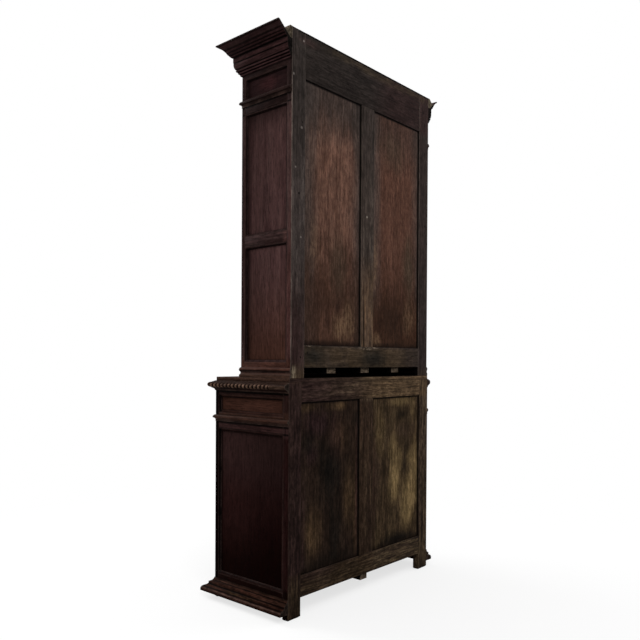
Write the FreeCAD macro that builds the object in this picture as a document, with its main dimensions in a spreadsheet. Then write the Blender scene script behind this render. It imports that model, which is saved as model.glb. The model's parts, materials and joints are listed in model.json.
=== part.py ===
import FreeCAD, Part
import Sketcher
import math
import os

# A tall bookcase in two stages: a glazed upper case standing on a deeper cupboard with two drawers.
# X runs across the front, the front faces -Y, Z is up and Z = 0 is the floor.

# Driving sizes, in millimetres
SIZES = {
    # lower case
    "lower_width": 1022,
    "lower_depth": 454,
    "lower_height": 966,
    "lower_post_width": 74,
    "lower_rear_post_thickness": 33,
    "foot_height": 30,
    "lower_top_rail_height": 62,
    "drawer_space_height": 79,
    "drawer_rail_height": 70,
    "lower_bottom_rail_height": 80,
    "lower_back_top_rail_height": 82,
    "lower_back_bottom_rail_low": 81,
    "lower_back_bottom_rail_height": 91,
    "lower_muntin_width": 97,
    "lower_floor_thickness": 18,
    "lower_bearer_width": 48,
    "lower_bearer_height": 29,
    "lower_shelf_height": 410,
    "top_board_thickness": 16,
    "top_board_inset": 2,
    # upper case
    "upper_case_inset": 8.5,
    "upper_depth": 298,
    "upper_height": 1418,
    "upper_post_width": 80,
    "upper_rear_post_thickness": 27,
    "upper_bottom_rail_height": 67,
    "upper_low_panel_height": 489,
    "upper_mid_rail_height": 46,
    "upper_frieze_rail_height": 62,
    "upper_frieze_height": 89,
    "upper_top_rail_height": 120,
    "post_head_height": 24,
    "upper_back_gap": 44,
    "upper_back_bottom_rail_height": 93,
    "upper_back_top_rail_height": 189,
    "upper_muntin_width": 93,
    "upper_floor_thickness": 18,
    "upper_bearer_width": 58,
    "upper_bearer_height": 25,
    "upper_bearer_spacing": 237,
    "bearer_end_setback": 12,
    "dust_board_thickness": 16,
    "dust_board_inset": 4,
    # frames and panels of both cases
    "front_post_thickness": 20,
    "side_rail_thickness": 22,
    "side_panel_thickness": 9,
    "side_panel_setback": 10,
    "back_rail_thickness": 24,
    "back_panel_thickness": 9,
    "back_panel_setback": 6,
    "groove_depth": 8,
    "panel_slack": 1,
    "tenon_thickness": 8,
    "tenon_length": 14,
    "tenon_shoulder": 8,
    "upper_panel_bead": 9,
    "lower_panel_bead": 12,
    "panel_bead_sink": 1,
    # mouldings
    "base_projection": 46,
    "base_height": 58,
    "base_lip": 8,
    "base_hollow_foot": 34,
    "base_hollow_reach": 20,
    "base_quirk": 8,
    "base_top_reach": 2,
    "waist_projection": 27,
    "waist_height": 44,
    "waist_nose": 24,
    "waist_nose_drop": 14,
    "waist_under_reach": 13,
    "waist_under_step": 3,
    "waist_foot_reach": 2,
    "astragal_projection": 9,
    "astragal_height": 28,
    "astragal_bead": 14,
    "astragal_foot_reach": 2,
    "lower_astragal_low": 31,
    "upper_astragal_low": 34,
    "plinth_projection": 6,
    "plinth_height": 44,
    "plinth_board": 12,
    "plinth_quirk_reach": 2.5,
    "plinth_quirk_height": 13,
    "plinth_bead": 12,
    "bed_projection": 28,
    "bed_height": 78,
    "bed_fascia": 20,
    "bed_fascia_step": 1.5,
    "bed_quirk_depth": 4,
    "bed_quirk_height": 3,
    "bed_bead_reach": 5,
    "bed_bead_height": 9,
    "bed_bead_step": 1.5,
    "crown_projection": 81,
    "crown_height": 52,
    "crown_foot_reach": 29.5,
    "crown_width": 18.5,
    "crown_lip_width": 7,
    "crown_lip": 5,
    "crown_lip_step": 3.5,
    "crown_band_reach": 13,
    "crown_band_height": 13,
    "crown_band_step": 1.5,
    "crown_rise_height": 3,
    "crown_block_length": 70,
    "crown_block_head": 12,
    "mitre_margin": 6,
    # shelves
    "shelf_thickness": 20,
    "shelf_clearance": 1,
    "shelf_first": 290,
    "shelf_step": 256,
    "rack_width": 24,
    "rack_thickness": 12,
    "rack_pitch": 32,
    "rack_tooth_depth": 9,
    "rack_tooth_height": 16,
    "cleat_clearance": 0.3,
    "lower_cleat_height": 26,
    "lower_cleat_thickness": 20,
    # doors
    "door_thickness": 22,
    "door_gap": 2,
    "hinge_gap": 2.5,
    "upper_stile_width": 56,
    "upper_door_rail_height": 64,
    "lower_stile_width": 66,
    "lower_door_rail_height": 72,
    "rebate_depth": 10,
    "rebate_width": 8,
    "glass_thickness": 3,
    "glass_slack": 1,
    "door_bead": 9,
    "panel_groove_back": 4,
    "door_panel_thickness": 9,
    "field_margin": 44,
    "field_rise": 5,
    "field_fillet": 2,
    # hinges and knobs
    "hinge_radius": 4.5,
    "hinge_knuckle": 26,
    "hinge_leaf_depth": 16,
    "hinge_pin_radius": 2.2,
    "hinge_bore_clearance": 0.06,
    "hinge_clearance": 0.5,
    "hinge_leaf_clearance": 0.25,
    "upper_hinge_inset": 150,
    "lower_hinge_inset": 120,
    "knob_length": 26,
    "knob_rose_radius": 11,
    "knob_rose_thickness": 3,
    "knob_neck_radius": 5,
    "knob_neck_length": 9,
    "knob_head_radius": 10,
    "knob_tip_radius": 3,
    # drawers
    "divider_width": 30,
    "drawer_clearance": 1.5,
    "drawer_running_gap": 0.3,
    "drawer_front_thickness": 20,
    "drawer_side_thickness": 12,
    "drawer_side_height": 66,
    "drawer_bottom_thickness": 7,
    "drawer_bottom_lift": 8,
    "drawer_bottom_groove": 5,
    "drawer_length": 370,
    "runner_width": 40,
    "runner_height": 22,
    "runner_guide_height": 16,
}

doc = FreeCAD.newDocument("Bookcase")
sheet = doc.addObject("Spreadsheet::Sheet", "Sizes")
for row, (name, millimetres) in enumerate(SIZES.items(), 1):
    sheet.set(f"A{row}", name)
    sheet.set(f"B{row}", str(millimetres))
    sheet.setAlias(f"B{row}", name)
doc.recompute()


class Size:
    """A length: its value, and the sheet formula that it follows."""

    def __init__(self, value, formula):
        self.value = value
        self.formula = formula

    def joined(self, sign, other, value):
        text = other.formula if isinstance(other, Size) else repr(other)
        return Size(value, f"({self.formula} {sign} {text})")

    def __add__(self, other):
        return self.joined("+", other, self.value + plain(other))

    def __sub__(self, other):
        return self.joined("-", other, self.value - plain(other))

    def __mul__(self, factor):
        return self.joined("*", factor, self.value * factor)

    def __truediv__(self, divisor):
        return self.joined("/", divisor, self.value / divisor)

    def __neg__(self):
        return Size(-self.value, f"(0 - {self.formula})")

    def __abs__(self):
        return self if self.value >= 0 else -self


def plain(length):
    return length.value if isinstance(length, Size) else length


def size(name):
    return Size(float(SIZES[name]), f"Sizes.{name}")


ZERO = Size(0.0, "0")


# Building blocks

nodes = []


def bind(thing, prop, length):
    thing.setExpression(prop, length.formula)


def block(name, x, y, z):
    """A squared length of timber between three pairs of planes."""
    timber = doc.addObject("Part::Box", name)
    for side, (low, high) in zip(("Length", "Width", "Height"), (x, y, z)):
        bind(timber, side, high - low)
    for axis, (low, high) in zip("xyz", (x, y, z)):
        bind(timber, f"Placement.Base.{axis}", low)
    return timber


def fuse(name, *pieces):
    joined = doc.addObject("Part::MultiFuse", name)
    joined.Shapes = list(pieces)
    joined.Refine = True
    return joined


def cut(name, base, *tools):
    """A piece with grooves, mortises or notches taken out of it."""
    worked = doc.addObject("Part::Cut", name)
    worked.Base = base
    worked.Tool = tools[0] if len(tools) == 1 else fuse(f"{name}_cutters", *tools)
    return worked


def mirrored(name, source):
    """The left-hand twin of a right-hand piece."""
    twin = doc.addObject("Part::Mirroring", name)
    twin.Source = source
    twin.Normal = FreeCAD.Vector(1, 0, 0)
    return twin


def node(label, *pieces):
    """Names a finished piece, or a set of like pieces, for its file."""
    if len(pieces) == 1:
        piece = pieces[0]
    else:
        piece = doc.addObject("Part::Compound", f"{label}_set")
        piece.Links = list(pieces)
    piece.Label = label
    nodes.append(piece)


def both_sides(label, *pieces):
    """A right-hand node and its left-hand twin."""
    node(f"{label}_right", *pieces)
    node(f"{label}_left", *[mirrored(f"{piece.Name}_twin", piece) for piece in pieces])


def pair(*pieces):
    """Right-hand pieces together with their left-hand twins."""
    return [*pieces, *[mirrored(f"{piece.Name}_twin", piece) for piece in pieces]]


# Profiles: corners are (across, up), and a round or hollow runs to its corner along an arc.
# The arc's radius is its two legs together times its flatness.

QUARTER = 0.5
SHALLOW = 0.6
FLAT = 1.2


def round_to(across, up, flatness=QUARTER):
    return (across, up, flatness, 1)


def hollow_to(across, up, flatness=QUARTER):
    return (across, up, flatness, -1)


def arc_through(start, end, radius, turn):
    """An arc of a radius from start to end, turning left for 1 and right for -1."""
    chord = end - start
    left = FreeCAD.Vector(-chord.y, chord.x, 0) / chord.Length
    rise = radius - math.sqrt(max(radius**2 - chord.Length**2 / 4, 0))
    crown = (start + end) / 2 - left * (turn * rise)
    return Part.Arc(start, crown, end)


def outline(sketch, corners, hand=1):
    """Draws a closed outline, each corner held to its sizes; hand is -1 where the plane mirrors it."""
    spots = [FreeCAD.Vector(corner[0].value, corner[1].value, 0) for corner in corners]
    first = sketch.GeometryCount
    ends = []
    radii = {}
    for index, corner in enumerate(corners):
        start = spots[index - 1]
        end = spots[index]
        if len(corner) == 2:
            sketch.addGeometry(Part.LineSegment(start, end))
            ends.append((1, 2))
        else:
            before = corners[index - 1]
            legs = abs(corner[0] - before[0]) + abs(corner[1] - before[1])
            radii[index] = legs * corner[2]
            turn = corner[3] * hand
            sketch.addGeometry(arc_through(start, end, radii[index].value, turn))
            ends.append((1, 2) if turn > 0 else (2, 1))
    for index, corner in enumerate(corners):
        edge = first + index
        after = (index + 1) % len(corners)
        tip = ends[index][1]
        sketch.addConstraint(Sketcher.Constraint("Coincident", edge, tip, first + after, ends[after][0]))
        for kind, length in (("DistanceX", corner[0]), ("DistanceY", corner[1])):
            place = sketch.addConstraint(Sketcher.Constraint(kind, -1, 1, edge, tip, length.value))
            bind(sketch, f"Constraints[{place}]", length)
        if index in radii:
            place = sketch.addConstraint(Sketcher.Constraint("Radius", edge, radii[index].value))
            bind(sketch, f"Constraints[{place}]", radii[index])


def sketch_on(body, plane, offset=ZERO):
    """An empty sketch on one of a body's own planes, moved along the plane's normal."""
    sketch = body.newObject("Sketcher::SketchObject", f"{body.Name}_sketch")
    support = next(feature for feature in body.Origin.OriginFeatures if feature.Role == plane)
    sketch.AttachmentSupport = [(support, "")]
    sketch.MapMode = "FlatFace"
    bind(sketch, "AttachmentOffset.Base.z", offset)
    return sketch


def pad(body, sketch, length, centred=False):
    feature = body.newObject("PartDesign::Pad", f"{body.Name}_pad")
    feature.Profile = sketch
    feature.Midplane = centred
    bind(feature, "Length", length)
    return feature


def pocket_up(body, sketch):
    """Cuts an outline on the floor plane straight up through the body."""
    feature = body.newObject("PartDesign::Pocket", f"{body.Name}_pocket")
    feature.Profile = sketch
    feature.Type = "ThroughAll"
    feature.Reversed = True
    return feature


def strip(name, corners, y):
    """A length of timber along Y, of a profile given across X and up Z."""
    body = doc.addObject("PartDesign::Body", name)
    sketch = sketch_on(body, "XZ_Plane", -y[1])
    outline(sketch, corners)
    pad(body, sketch, y[1] - y[0])
    return body


def moulding(label, profile, half, front, rear, reach):
    """Three lengths of a moulding, mitred at the front corners and square at the back.

    The profile is given outwards from the case's face and up; half is the case's half width.
    """
    past = reach + size("mitre_margin")
    side = doc.addObject("PartDesign::Body", f"{label}_right_run")
    section = sketch_on(side, "XZ_Plane", -rear)
    outline(section, [(half + corner[0], *corner[1:]) for corner in profile])
    pad(side, section, rear - front + past)
    mitre = sketch_on(side, "XY_Plane")
    outline(mitre, [(half, front), (half, front - past), (half + past, front - past)])
    pocket_up(side, mitre)

    face = doc.addObject("PartDesign::Body", f"{label}_front_run")
    section = sketch_on(face, "YZ_Plane")
    outline(section, [(front - corner[0], *corner[1:]) for corner in profile], hand=-1)
    pad(face, section, (half + past) * 2, centred=True)
    mitre = sketch_on(face, "XY_Plane")
    outline(mitre, [(half, front), (half + past, front - past), (half + past, front)])
    outline(mitre, [(-half, front), (-half - past, front), (-half - past, front - past)])
    pocket_up(face, mitre)
    return [face, side, mirrored(f"{label}_left_run", side)]


def bead_ring(name, plane, offset, across, z, section):
    """A mitred bead round an opening; its section lies level at the middle of the far upright."""
    body = doc.addObject("PartDesign::Body", name)
    middle = (z[0] + z[1]) / 2
    path = sketch_on(body, plane, offset)
    start = (across[1], middle)
    route = [start, (across[1], z[1]), (across[0], z[1]), (across[0], z[0]), (across[1], z[0])]
    outline(path, route)
    profile = sketch_on(body, "XY_Plane", middle)
    outline(profile, section)
    sweep = body.newObject("PartDesign::AdditivePipe", f"{name}_sweep")
    sweep.Profile = profile
    sweep.Spine = path
    sweep.Transition = "Right corner"
    return body


# Main planes

back = (size("lower_depth") + size("base_projection")) / 2
lower_half = size("lower_width") / 2
lower_front = back - size("lower_depth")
lower_top = size("lower_height")
upper_half = lower_half - size("upper_case_inset")
upper_front = back - size("upper_depth")
upper_foot = lower_top + size("top_board_thickness")
upper_top = upper_foot + size("upper_height")
lower_opening = lower_half - size("lower_post_width")
upper_opening = upper_half - size("upper_post_width")
front_thickness = size("front_post_thickness")
rail_thickness = size("side_rail_thickness")
groove = size("groove_depth")
slack = size("panel_slack")


# Side frames: rails tongued into grooved posts, with panels floating in the same grooves

def side_groove_x(half):
    face = half - size("side_panel_setback")
    return (face - size("side_panel_thickness"), face)


def side_frame(case, half, front, rear, rails, bead):
    """Rails, panels and panel beads of the right-hand side, from a list of rail heights."""
    groove_x = side_groove_x(half)
    tongue_y = (front - groove, rear + groove)
    made_rails = []
    made_panels = []
    made_beads = []
    for index, (low, high) in enumerate(rails):
        name = f"{case}_side_rail_{index + 1}"
        below = index > 0
        above = index < len(rails) - 1
        tongue_z = (low + groove if below else low, high - groove if above else high)
        bar = block(f"{name}_bar", (half - rail_thickness, half), (front, rear), (low, high))
        rail = fuse(f"{name}_tongued", bar, block(f"{name}_tongue", groove_x, tongue_y, tongue_z))
        grooves = []
        if below:
            grooves.append(block(f"{name}_low_groove", groove_x, (front, rear), (low, low + groove)))
        if above:
            grooves.append(block(f"{name}_high_groove", groove_x, (front, rear), (high - groove, high)))
        made_rails.append(cut(name, rail, *grooves))
    for index in range(len(rails) - 1):
        low = rails[index][1]
        high = rails[index + 1][0]
        panel_y = (front - groove + slack, rear + groove - slack)
        panel_z = (low - groove + slack, high + groove - slack)
        made_panels.append(block(f"{case}_side_panel_{index + 1}", groove_x, panel_y, panel_z))
        face = groove_x[1]
        crest = half - size("panel_bead_sink")
        section = [(face, rear), (face, rear - bead), round_to(crest, rear)]
        made_beads.append(
            bead_ring(f"{case}_side_bead_{index + 1}", "YZ_Plane", face, (front, rear), (low, high), section)
        )
    return made_rails, made_panels, made_beads


# Back frames: two rails and a muntin between the posts, with two panels

def back_groove_y():
    face = back - size("back_panel_setback")
    return (face - size("back_panel_thickness"), face)


def back_frame(case, opening, muntin_width, bottom_rail, top_rail):
    groove_y = back_groove_y()
    rail_y = (back - size("back_rail_thickness"), back)
    rail_x = (-opening, opening)
    tongue_x = (-opening - groove, opening + groove)
    half_muntin = muntin_width / 2
    made_rails = []
    for name, (low, high), inner in (
        (f"{case}_back_bottom_rail", bottom_rail, bottom_rail[1] - groove),
        (f"{case}_back_top_rail", top_rail, top_rail[0]),
    ):
        at_bottom = inner.value > low.value
        tongue_z = (low, high - groove) if at_bottom else (low + groove, high)
        bar = block(f"{name}_bar", rail_x, rail_y, (low, high))
        rail = fuse(f"{name}_tongued", bar, block(f"{name}_tongue", tongue_x, groove_y, tongue_z))
        made_rails.append(cut(name, rail, block(f"{name}_groove", rail_x, groove_y, (inner, inner + groove))))
    low = bottom_rail[1]
    high = top_rail[0]
    bar = block(f"{case}_muntin_bar", (-half_muntin, half_muntin), rail_y, (low, high))
    tongue_side = half_muntin - groove
    tongue = block(f"{case}_muntin_tongue", (-tongue_side, tongue_side), groove_y, (low - groove, high + groove))
    grooves = pair(block(f"{case}_muntin_groove", (tongue_side, half_muntin), groove_y, (low, high)))
    muntin = cut(f"{case}_muntin", fuse(f"{case}_muntin_tongued", bar, tongue), *grooves)
    panel_x = (half_muntin - groove + slack, opening + groove - slack)
    panel_z = (low - groove + slack, high + groove - slack)
    panel = block(f"{case}_back_panel", panel_x, groove_y, panel_z)
    node(f"{case}_back_rails", *made_rails)
    node(f"{case}_back_muntin", muntin)
    node(f"{case}_back_panels", *pair(panel))


# Front rails: tenoned into the front posts

def tenon_box(name, opening, front, low, high):
    """The tenons of a front rail, as one bar through it, and so also the mortises that take them."""
    middle = front + front_thickness / 2
    half_tenon = size("tenon_thickness") / 2
    reach = opening + size("tenon_length")
    shoulder = size("tenon_shoulder")
    return block(name, (-reach, reach), (middle - half_tenon, middle + half_tenon), (low + shoulder, high - shoulder))


def front_rail(name, opening, front, low, high):
    bar = block(f"{name}_bar", (-opening, opening), (front, front + front_thickness), (low, high))
    return fuse(name, bar, tenon_box(f"{name}_tenon", opening, front, low, high))


def posts(case, half, width, front, rear_thickness, z, side_z, back_z, front_rails):
    """The four corner posts of a case, grooved for the panels and mortised for the front rails."""
    opening = half - width
    x = (opening, half)
    groove_x = side_groove_x(half)
    inner = back - rear_thickness
    rear = cut(
        f"{case}_rear_post",
        block(f"{case}_rear_post_bar", x, (inner, back), z),
        block(f"{case}_rear_post_side_groove", groove_x, (inner, inner + groove), side_z),
        block(f"{case}_rear_post_back_groove", (opening, opening + groove), back_groove_y(), back_z),
    )
    inner = front + front_thickness
    mortises = [
        tenon_box(f"{case}_front_post_mortise_{index}", opening, front, low, high)
        for index, (low, high) in enumerate(front_rails, 1)
    ]
    fore = cut(
        f"{case}_front_post",
        block(f"{case}_front_post_bar", x, (front, inner), z),
        block(f"{case}_front_post_side_groove", groove_x, (inner - groove, inner), side_z),
        *mortises,
    )
    both_sides(f"{case}_rear_post", rear)
    node(f"{case}_front_posts", *pair(fore))


# Lower case: posts, side frames and back frame

drawer_roof = lower_top - size("lower_top_rail_height")
drawer_floor = drawer_roof - size("drawer_space_height")
lower_rails = [
    (size("foot_height"), size("foot_height") + size("lower_bottom_rail_height")),
    (drawer_floor - size("drawer_rail_height"), drawer_floor),
    (drawer_roof, lower_top),
]

lower_back_bottom = size("lower_back_bottom_rail_low")
lower_back_bottom_rail = (lower_back_bottom, lower_back_bottom + size("lower_back_bottom_rail_height"))
lower_back_top_rail = (lower_top - size("lower_back_top_rail_height"), lower_top)
lower_inner_front = lower_front + front_thickness
lower_inner_rear = back - size("lower_rear_post_thickness")

posts(
    "lower", lower_half, size("lower_post_width"), lower_front, size("lower_rear_post_thickness"),
    (ZERO, lower_top), (lower_rails[0][0], lower_top), (lower_back_bottom, lower_top), lower_rails,
)
rails, panels, lower_beads = side_frame(
    "lower", lower_half, lower_inner_front, lower_inner_rear, lower_rails, size("lower_panel_bead")
)
both_sides("lower_side_rails", *rails)
both_sides("lower_side_panels", *panels)
back_frame("lower", lower_opening, size("lower_muntin_width"), lower_back_bottom_rail, lower_back_top_rail)
node(
    "lower_front_rails",
    *[front_rail(f"lower_front_rail_{i}", lower_opening, lower_front, *z) for i, z in enumerate(lower_rails, 1)],
)

# Lower floor, let in between the rails and notched round the posts, with a bearer under its middle

back_face = back - size("back_rail_thickness")
lower_inside = lower_half - rail_thickness
lower_floor_z = (lower_back_bottom, lower_back_bottom + size("lower_floor_thickness"))


def notched_board(name, half_x, y, z, notches):
    """A board with the same notches cut at both ends."""
    board = block(f"{name}_board", (-half_x, half_x), y, z)
    cutters = [block(f"{name}_notch_{i}", nx, ny, z) for i, (nx, ny) in enumerate(notches, 1)]
    return cut(name, board, *pair(*cutters))


node(
    "lower_floor",
    notched_board(
        "lower_floor_board", lower_inside, (lower_inner_front, back_face), lower_floor_z,
        [((lower_opening, lower_half), (lower_inner_rear, back))],
    ),
)

lower_bearer = block(
    "lower_bearer",
    (-size("lower_bearer_width") / 2, size("lower_bearer_width") / 2),
    (lower_inner_front, back - size("bearer_end_setback")),
    (lower_back_bottom - size("lower_bearer_height"), lower_back_bottom),
)

# Cupboard shelf, on a cleat between the posts at each end

lower_shelf_low = size("lower_shelf_height")
cleat_outer = lower_half - rail_thickness
lower_cleat = block(
    "lower_cleat",
    (cleat_outer - size("lower_cleat_thickness"), cleat_outer),
    (lower_inner_front, lower_inner_rear),
    (lower_shelf_low - size("lower_cleat_height"), lower_shelf_low),
)
lower_shelf_front = lower_front + size("door_thickness") + size("door_gap") * 2
node(
    "lower_shelf",
    block(
        "lower_shelf_board",
        (-cleat_outer, cleat_outer),
        (lower_shelf_front, lower_inner_rear - size("shelf_clearance")),
        (lower_shelf_low, lower_shelf_low + size("shelf_thickness")),
    ),
)

# Drawer divider and the runners with their guide strips

half_divider = size("divider_width") / 2
node(
    "drawer_divider",
    block("divider", (-half_divider, half_divider), (lower_front, lower_inner_front), (drawer_floor, drawer_roof)),
)
runner_low = drawer_floor - size("runner_height")
guide_top = drawer_floor + size("runner_guide_height")
side_runner = strip(
    "side_runner",
    [
        (lower_opening - size("runner_width"), runner_low),
        (lower_inside, runner_low),
        (lower_inside, guide_top),
        (lower_opening, guide_top),
        (lower_opening, drawer_floor),
        (lower_opening - size("runner_width"), drawer_floor),
    ],
    (lower_inner_front, lower_inner_rear),
)
half_runner = half_divider + size("runner_width")
middle_runner = strip(
    "middle_runner",
    [
        (-half_runner, runner_low),
        (half_runner, runner_low),
        (half_runner, drawer_floor),
        (half_divider, drawer_floor),
        (half_divider, guide_top),
        (-half_divider, guide_top),
        (-half_divider, drawer_floor),
        (-half_runner, drawer_floor),
    ],
    (lower_inner_front, back_face),
)
node("drawer_runners", middle_runner, *pair(side_runner))

# Top board of the lower case, on which the upper case stands

top_inset = size("top_board_inset")
node(
    "lower_top_board",
    block(
        "top_board",
        (-lower_half + top_inset, lower_half - top_inset),
        (lower_front + top_inset, back),
        (lower_top, upper_foot),
    ),
)

# Mouldings of the lower case

base_low = size("foot_height")
base_top = base_low + size("base_height")
base_edge = size("base_projection")
base_profile = [
    (ZERO, base_low),
    (base_edge, base_low),
    (base_edge, base_low + size("base_lip")),
    round_to(size("base_hollow_reach") + size("base_quirk"), base_top - size("base_hollow_foot")),
    (size("base_hollow_reach"), base_top - size("base_hollow_foot") + size("base_quirk")),
    (size("base_hollow_reach"), base_top - size("base_hollow_foot") + size("base_quirk") * 2),
    hollow_to(size("base_top_reach"), base_top, SHALLOW),
    (ZERO, base_top),
]
node("base_mouldings", *moulding("base_moulding", base_profile, lower_half, lower_front, back, base_edge))

waist_low = lower_top - size("waist_height")
waist_edge = size("waist_projection")
half_nose = size("waist_nose") / 2
nose_middle = lower_top - size("waist_nose_drop")
nose_root = waist_edge - half_nose
waist_profile = [
    (ZERO, waist_low),
    (size("waist_foot_reach"), waist_low),
    hollow_to(size("waist_under_reach"), nose_middle - half_nose - size("waist_under_step")),
    (nose_root, nose_middle - half_nose),
    round_to(waist_edge, nose_middle),
    round_to(nose_root, nose_middle + half_nose),
    (ZERO, lower_top),
]
node("waist_mouldings", *moulding("waist_moulding", waist_profile, lower_half, lower_front, back, waist_edge))


def astragal(label, low, half, front):
    """A half-round bead over a hollow."""
    edge = size("astragal_projection")
    top = low + size("astragal_height")
    bead_low = top - size("astragal_bead")
    profile = [
        (ZERO, low),
        (size("astragal_foot_reach"), low),
        hollow_to(edge - size("astragal_foot_reach"), bead_low),
        (edge, bead_low),
        round_to(size("astragal_foot_reach"), top),
        (ZERO, top),
    ]
    node(f"{label}s", *moulding(label, profile, half, front, back, edge))


astragal("lower_astragal", lower_rails[1][0] + size("lower_astragal_low"), lower_half, lower_front)

# Upper case: posts, side frames and back frame

rails_top = upper_top - size("post_head_height")
upper_frieze_top = rails_top - size("upper_top_rail_height")
upper_frieze_low = upper_frieze_top - size("upper_frieze_height")
upper_bottom_rail_top = upper_foot + size("upper_bottom_rail_height")
mid_rail_low = upper_bottom_rail_top + size("upper_low_panel_height")
upper_rails = [
    (upper_foot, upper_bottom_rail_top),
    (mid_rail_low, mid_rail_low + size("upper_mid_rail_height")),
    (upper_frieze_low - size("upper_frieze_rail_height"), upper_frieze_low),
    (upper_frieze_top, rails_top),
]
upper_front_rails = [upper_rails[0], (upper_rails[2][0], rails_top)]

upper_back_low = upper_foot + size("upper_back_gap")
upper_back_bottom_rail = (upper_back_low, upper_back_low + size("upper_back_bottom_rail_height"))
upper_back_top_rail = (upper_top - size("upper_back_top_rail_height"), upper_top)
upper_inner_front = upper_front + front_thickness
upper_inner_rear = back - size("upper_rear_post_thickness")

posts(
    "upper", upper_half, size("upper_post_width"), upper_front, size("upper_rear_post_thickness"),
    (upper_foot, upper_top), (upper_foot, rails_top), (upper_back_low, upper_top), upper_front_rails,
)
rails, panels, upper_beads = side_frame(
    "upper", upper_half, upper_inner_front, upper_inner_rear, upper_rails, size("upper_panel_bead")
)
both_sides("upper_side_rails", *rails)
both_sides("upper_side_panels", *panels)
back_frame("upper", upper_opening, size("upper_muntin_width"), upper_back_bottom_rail, upper_back_top_rail)
node(
    "upper_front_rails",
    *[
        front_rail(f"upper_front_rail_{i}", upper_opening, upper_front, *z)
        for i, z in enumerate(upper_front_rails, 1)
    ],
)
node("side_panel_beads", *pair(*lower_beads, *upper_beads))

# Upper floor on three bearers, whose ends show through the gap under the back

upper_inside = upper_half - rail_thickness
upper_floor_top = upper_back_low + size("upper_floor_thickness")
node(
    "upper_floor",
    notched_board(
        "upper_floor_board", upper_inside, (upper_inner_front, back_face), (upper_back_low, upper_floor_top),
        [((upper_opening, upper_half), (upper_inner_rear, back))],
    ),
)
half_bearer = size("upper_bearer_width") / 2
upper_bearers = [
    block(
        f"upper_bearer_{index}",
        (size("upper_bearer_spacing") * step - half_bearer, size("upper_bearer_spacing") * step + half_bearer),
        (upper_inner_front, back - size("bearer_end_setback")),
        (upper_back_low - size("upper_bearer_height"), upper_back_low),
    )
    for index, step in enumerate((-1, 0, 1), 1)
]
node("floor_bearers", lower_bearer, *upper_bearers)

# Dust board that closes the top, lying on the rails between the posts

dust_inset = size("dust_board_inset")
post_x = (upper_opening, upper_half)
node(
    "dust_board",
    notched_board(
        "dust_top", upper_half - dust_inset, (upper_front + dust_inset, back_face),
        (rails_top, rails_top + size("dust_board_thickness")),
        [(post_x, (upper_front, upper_inner_front)), (post_x, (upper_inner_rear, back))],
    ),
)

# Toothed racks in the corners, cleats across their teeth, and the bookshelves on the cleats

tooth = size("rack_tooth_depth")
tooth_rise = size("rack_tooth_height")
rack_x = (upper_inside - size("rack_thickness"), upper_inside)
rack_top = upper_rails[2][0] + size("upper_frieze_rail_height") / 2
rack_length = rack_top - upper_floor_top
first_tooth = upper_floor_top + size("rack_pitch")
last_tooth = Size(
    size("rack_pitch").value * math.floor((rack_length.value - tooth_rise.value) / size("rack_pitch").value - 1),
    f"(Sizes.rack_pitch * floor(({rack_length.formula} - Sizes.rack_tooth_height) / Sizes.rack_pitch - 1))",
)


def rack(name, wall, inward):
    """A strip against the post's face, with saw teeth cut along the edge that faces inwards."""
    edge = wall + size("rack_width") * inward
    body = doc.addObject("PartDesign::Body", name)
    sketch = sketch_on(body, "YZ_Plane", rack_x[0])
    outline(
        sketch,
        [(wall, upper_floor_top), (edge, upper_floor_top), (edge, rack_top), (wall, rack_top)],
        hand=inward,
    )
    pad(body, sketch, size("rack_thickness"))
    sketch = sketch_on(body, "YZ_Plane", rack_x[0])
    outline(
        sketch,
        [(edge, first_tooth), (edge, first_tooth + tooth_rise), (edge - tooth * inward, first_tooth)],
        hand=inward,
    )
    notch = body.newObject("PartDesign::Pocket", f"{name}_tooth")
    notch.Profile = sketch
    notch.Type = "ThroughAll"
    notch.Reversed = True
    teeth = body.newObject("PartDesign::LinearPattern", f"{name}_teeth")
    teeth.Originals = [notch]
    teeth.Direction = (next(f for f in body.Origin.OriginFeatures if f.Role == "Z_Axis"), [""])
    bind(teeth, "Length", last_tooth)
    teeth.setExpression("Occurrences", f"{last_tooth.formula} / Sizes.rack_pitch + 1")
    body.Tip = teeth
    return body


node("shelf_racks", *pair(rack("front_rack", upper_inner_front, 1), rack("rear_rack", upper_inner_rear, -1)))

cleat_gap = size("cleat_clearance")
cleat_y = (
    upper_inner_front + size("rack_width") + cleat_gap,
    upper_inner_rear - size("rack_width") - cleat_gap,
)
shelf_y = (upper_front + size("door_thickness") + size("door_gap") * 2, upper_inner_rear - size("shelf_clearance"))
shelf_end = upper_inside - size("shelf_clearance")
rack_room = size("rack_width") + size("shelf_clearance")
rack_notches = [
    ((rack_x[0] - size("shelf_clearance"), upper_inside), (upper_inner_front, upper_inner_front + rack_room)),
    ((rack_x[0] - size("shelf_clearance"), upper_inside), (upper_inner_rear - rack_room, upper_inner_rear)),
]
cleats = []
shelves = []
for index, name in enumerate(("low", "middle", "high")):
    wanted = size("shelf_first") + size("shelf_step") * index
    tooth_number = math.floor(wanted.value / size("rack_pitch").value)
    seat = upper_floor_top + Size(
        size("rack_pitch").value * tooth_number, f"(Sizes.rack_pitch * floor({wanted.formula} / Sizes.rack_pitch))"
    )
    shelf_low = seat + tooth_rise
    body = doc.addObject("PartDesign::Body", f"{name}_cleat")
    sketch = sketch_on(body, "YZ_Plane", rack_x[0])
    outline(
        sketch,
        [
            (cleat_y[0] - tooth, seat),
            (cleat_y[1] + tooth, seat),
            (cleat_y[1], shelf_low),
            (cleat_y[0], shelf_low),
        ],
    )
    pad(body, sketch, size("rack_thickness"))
    cleats.append(body)
    shelf_z = (shelf_low, shelf_low + size("shelf_thickness"))
    shelves.append(notched_board(f"{name}_shelf", shelf_end, shelf_y, shelf_z, rack_notches))
node("bookshelves", *shelves)
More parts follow.
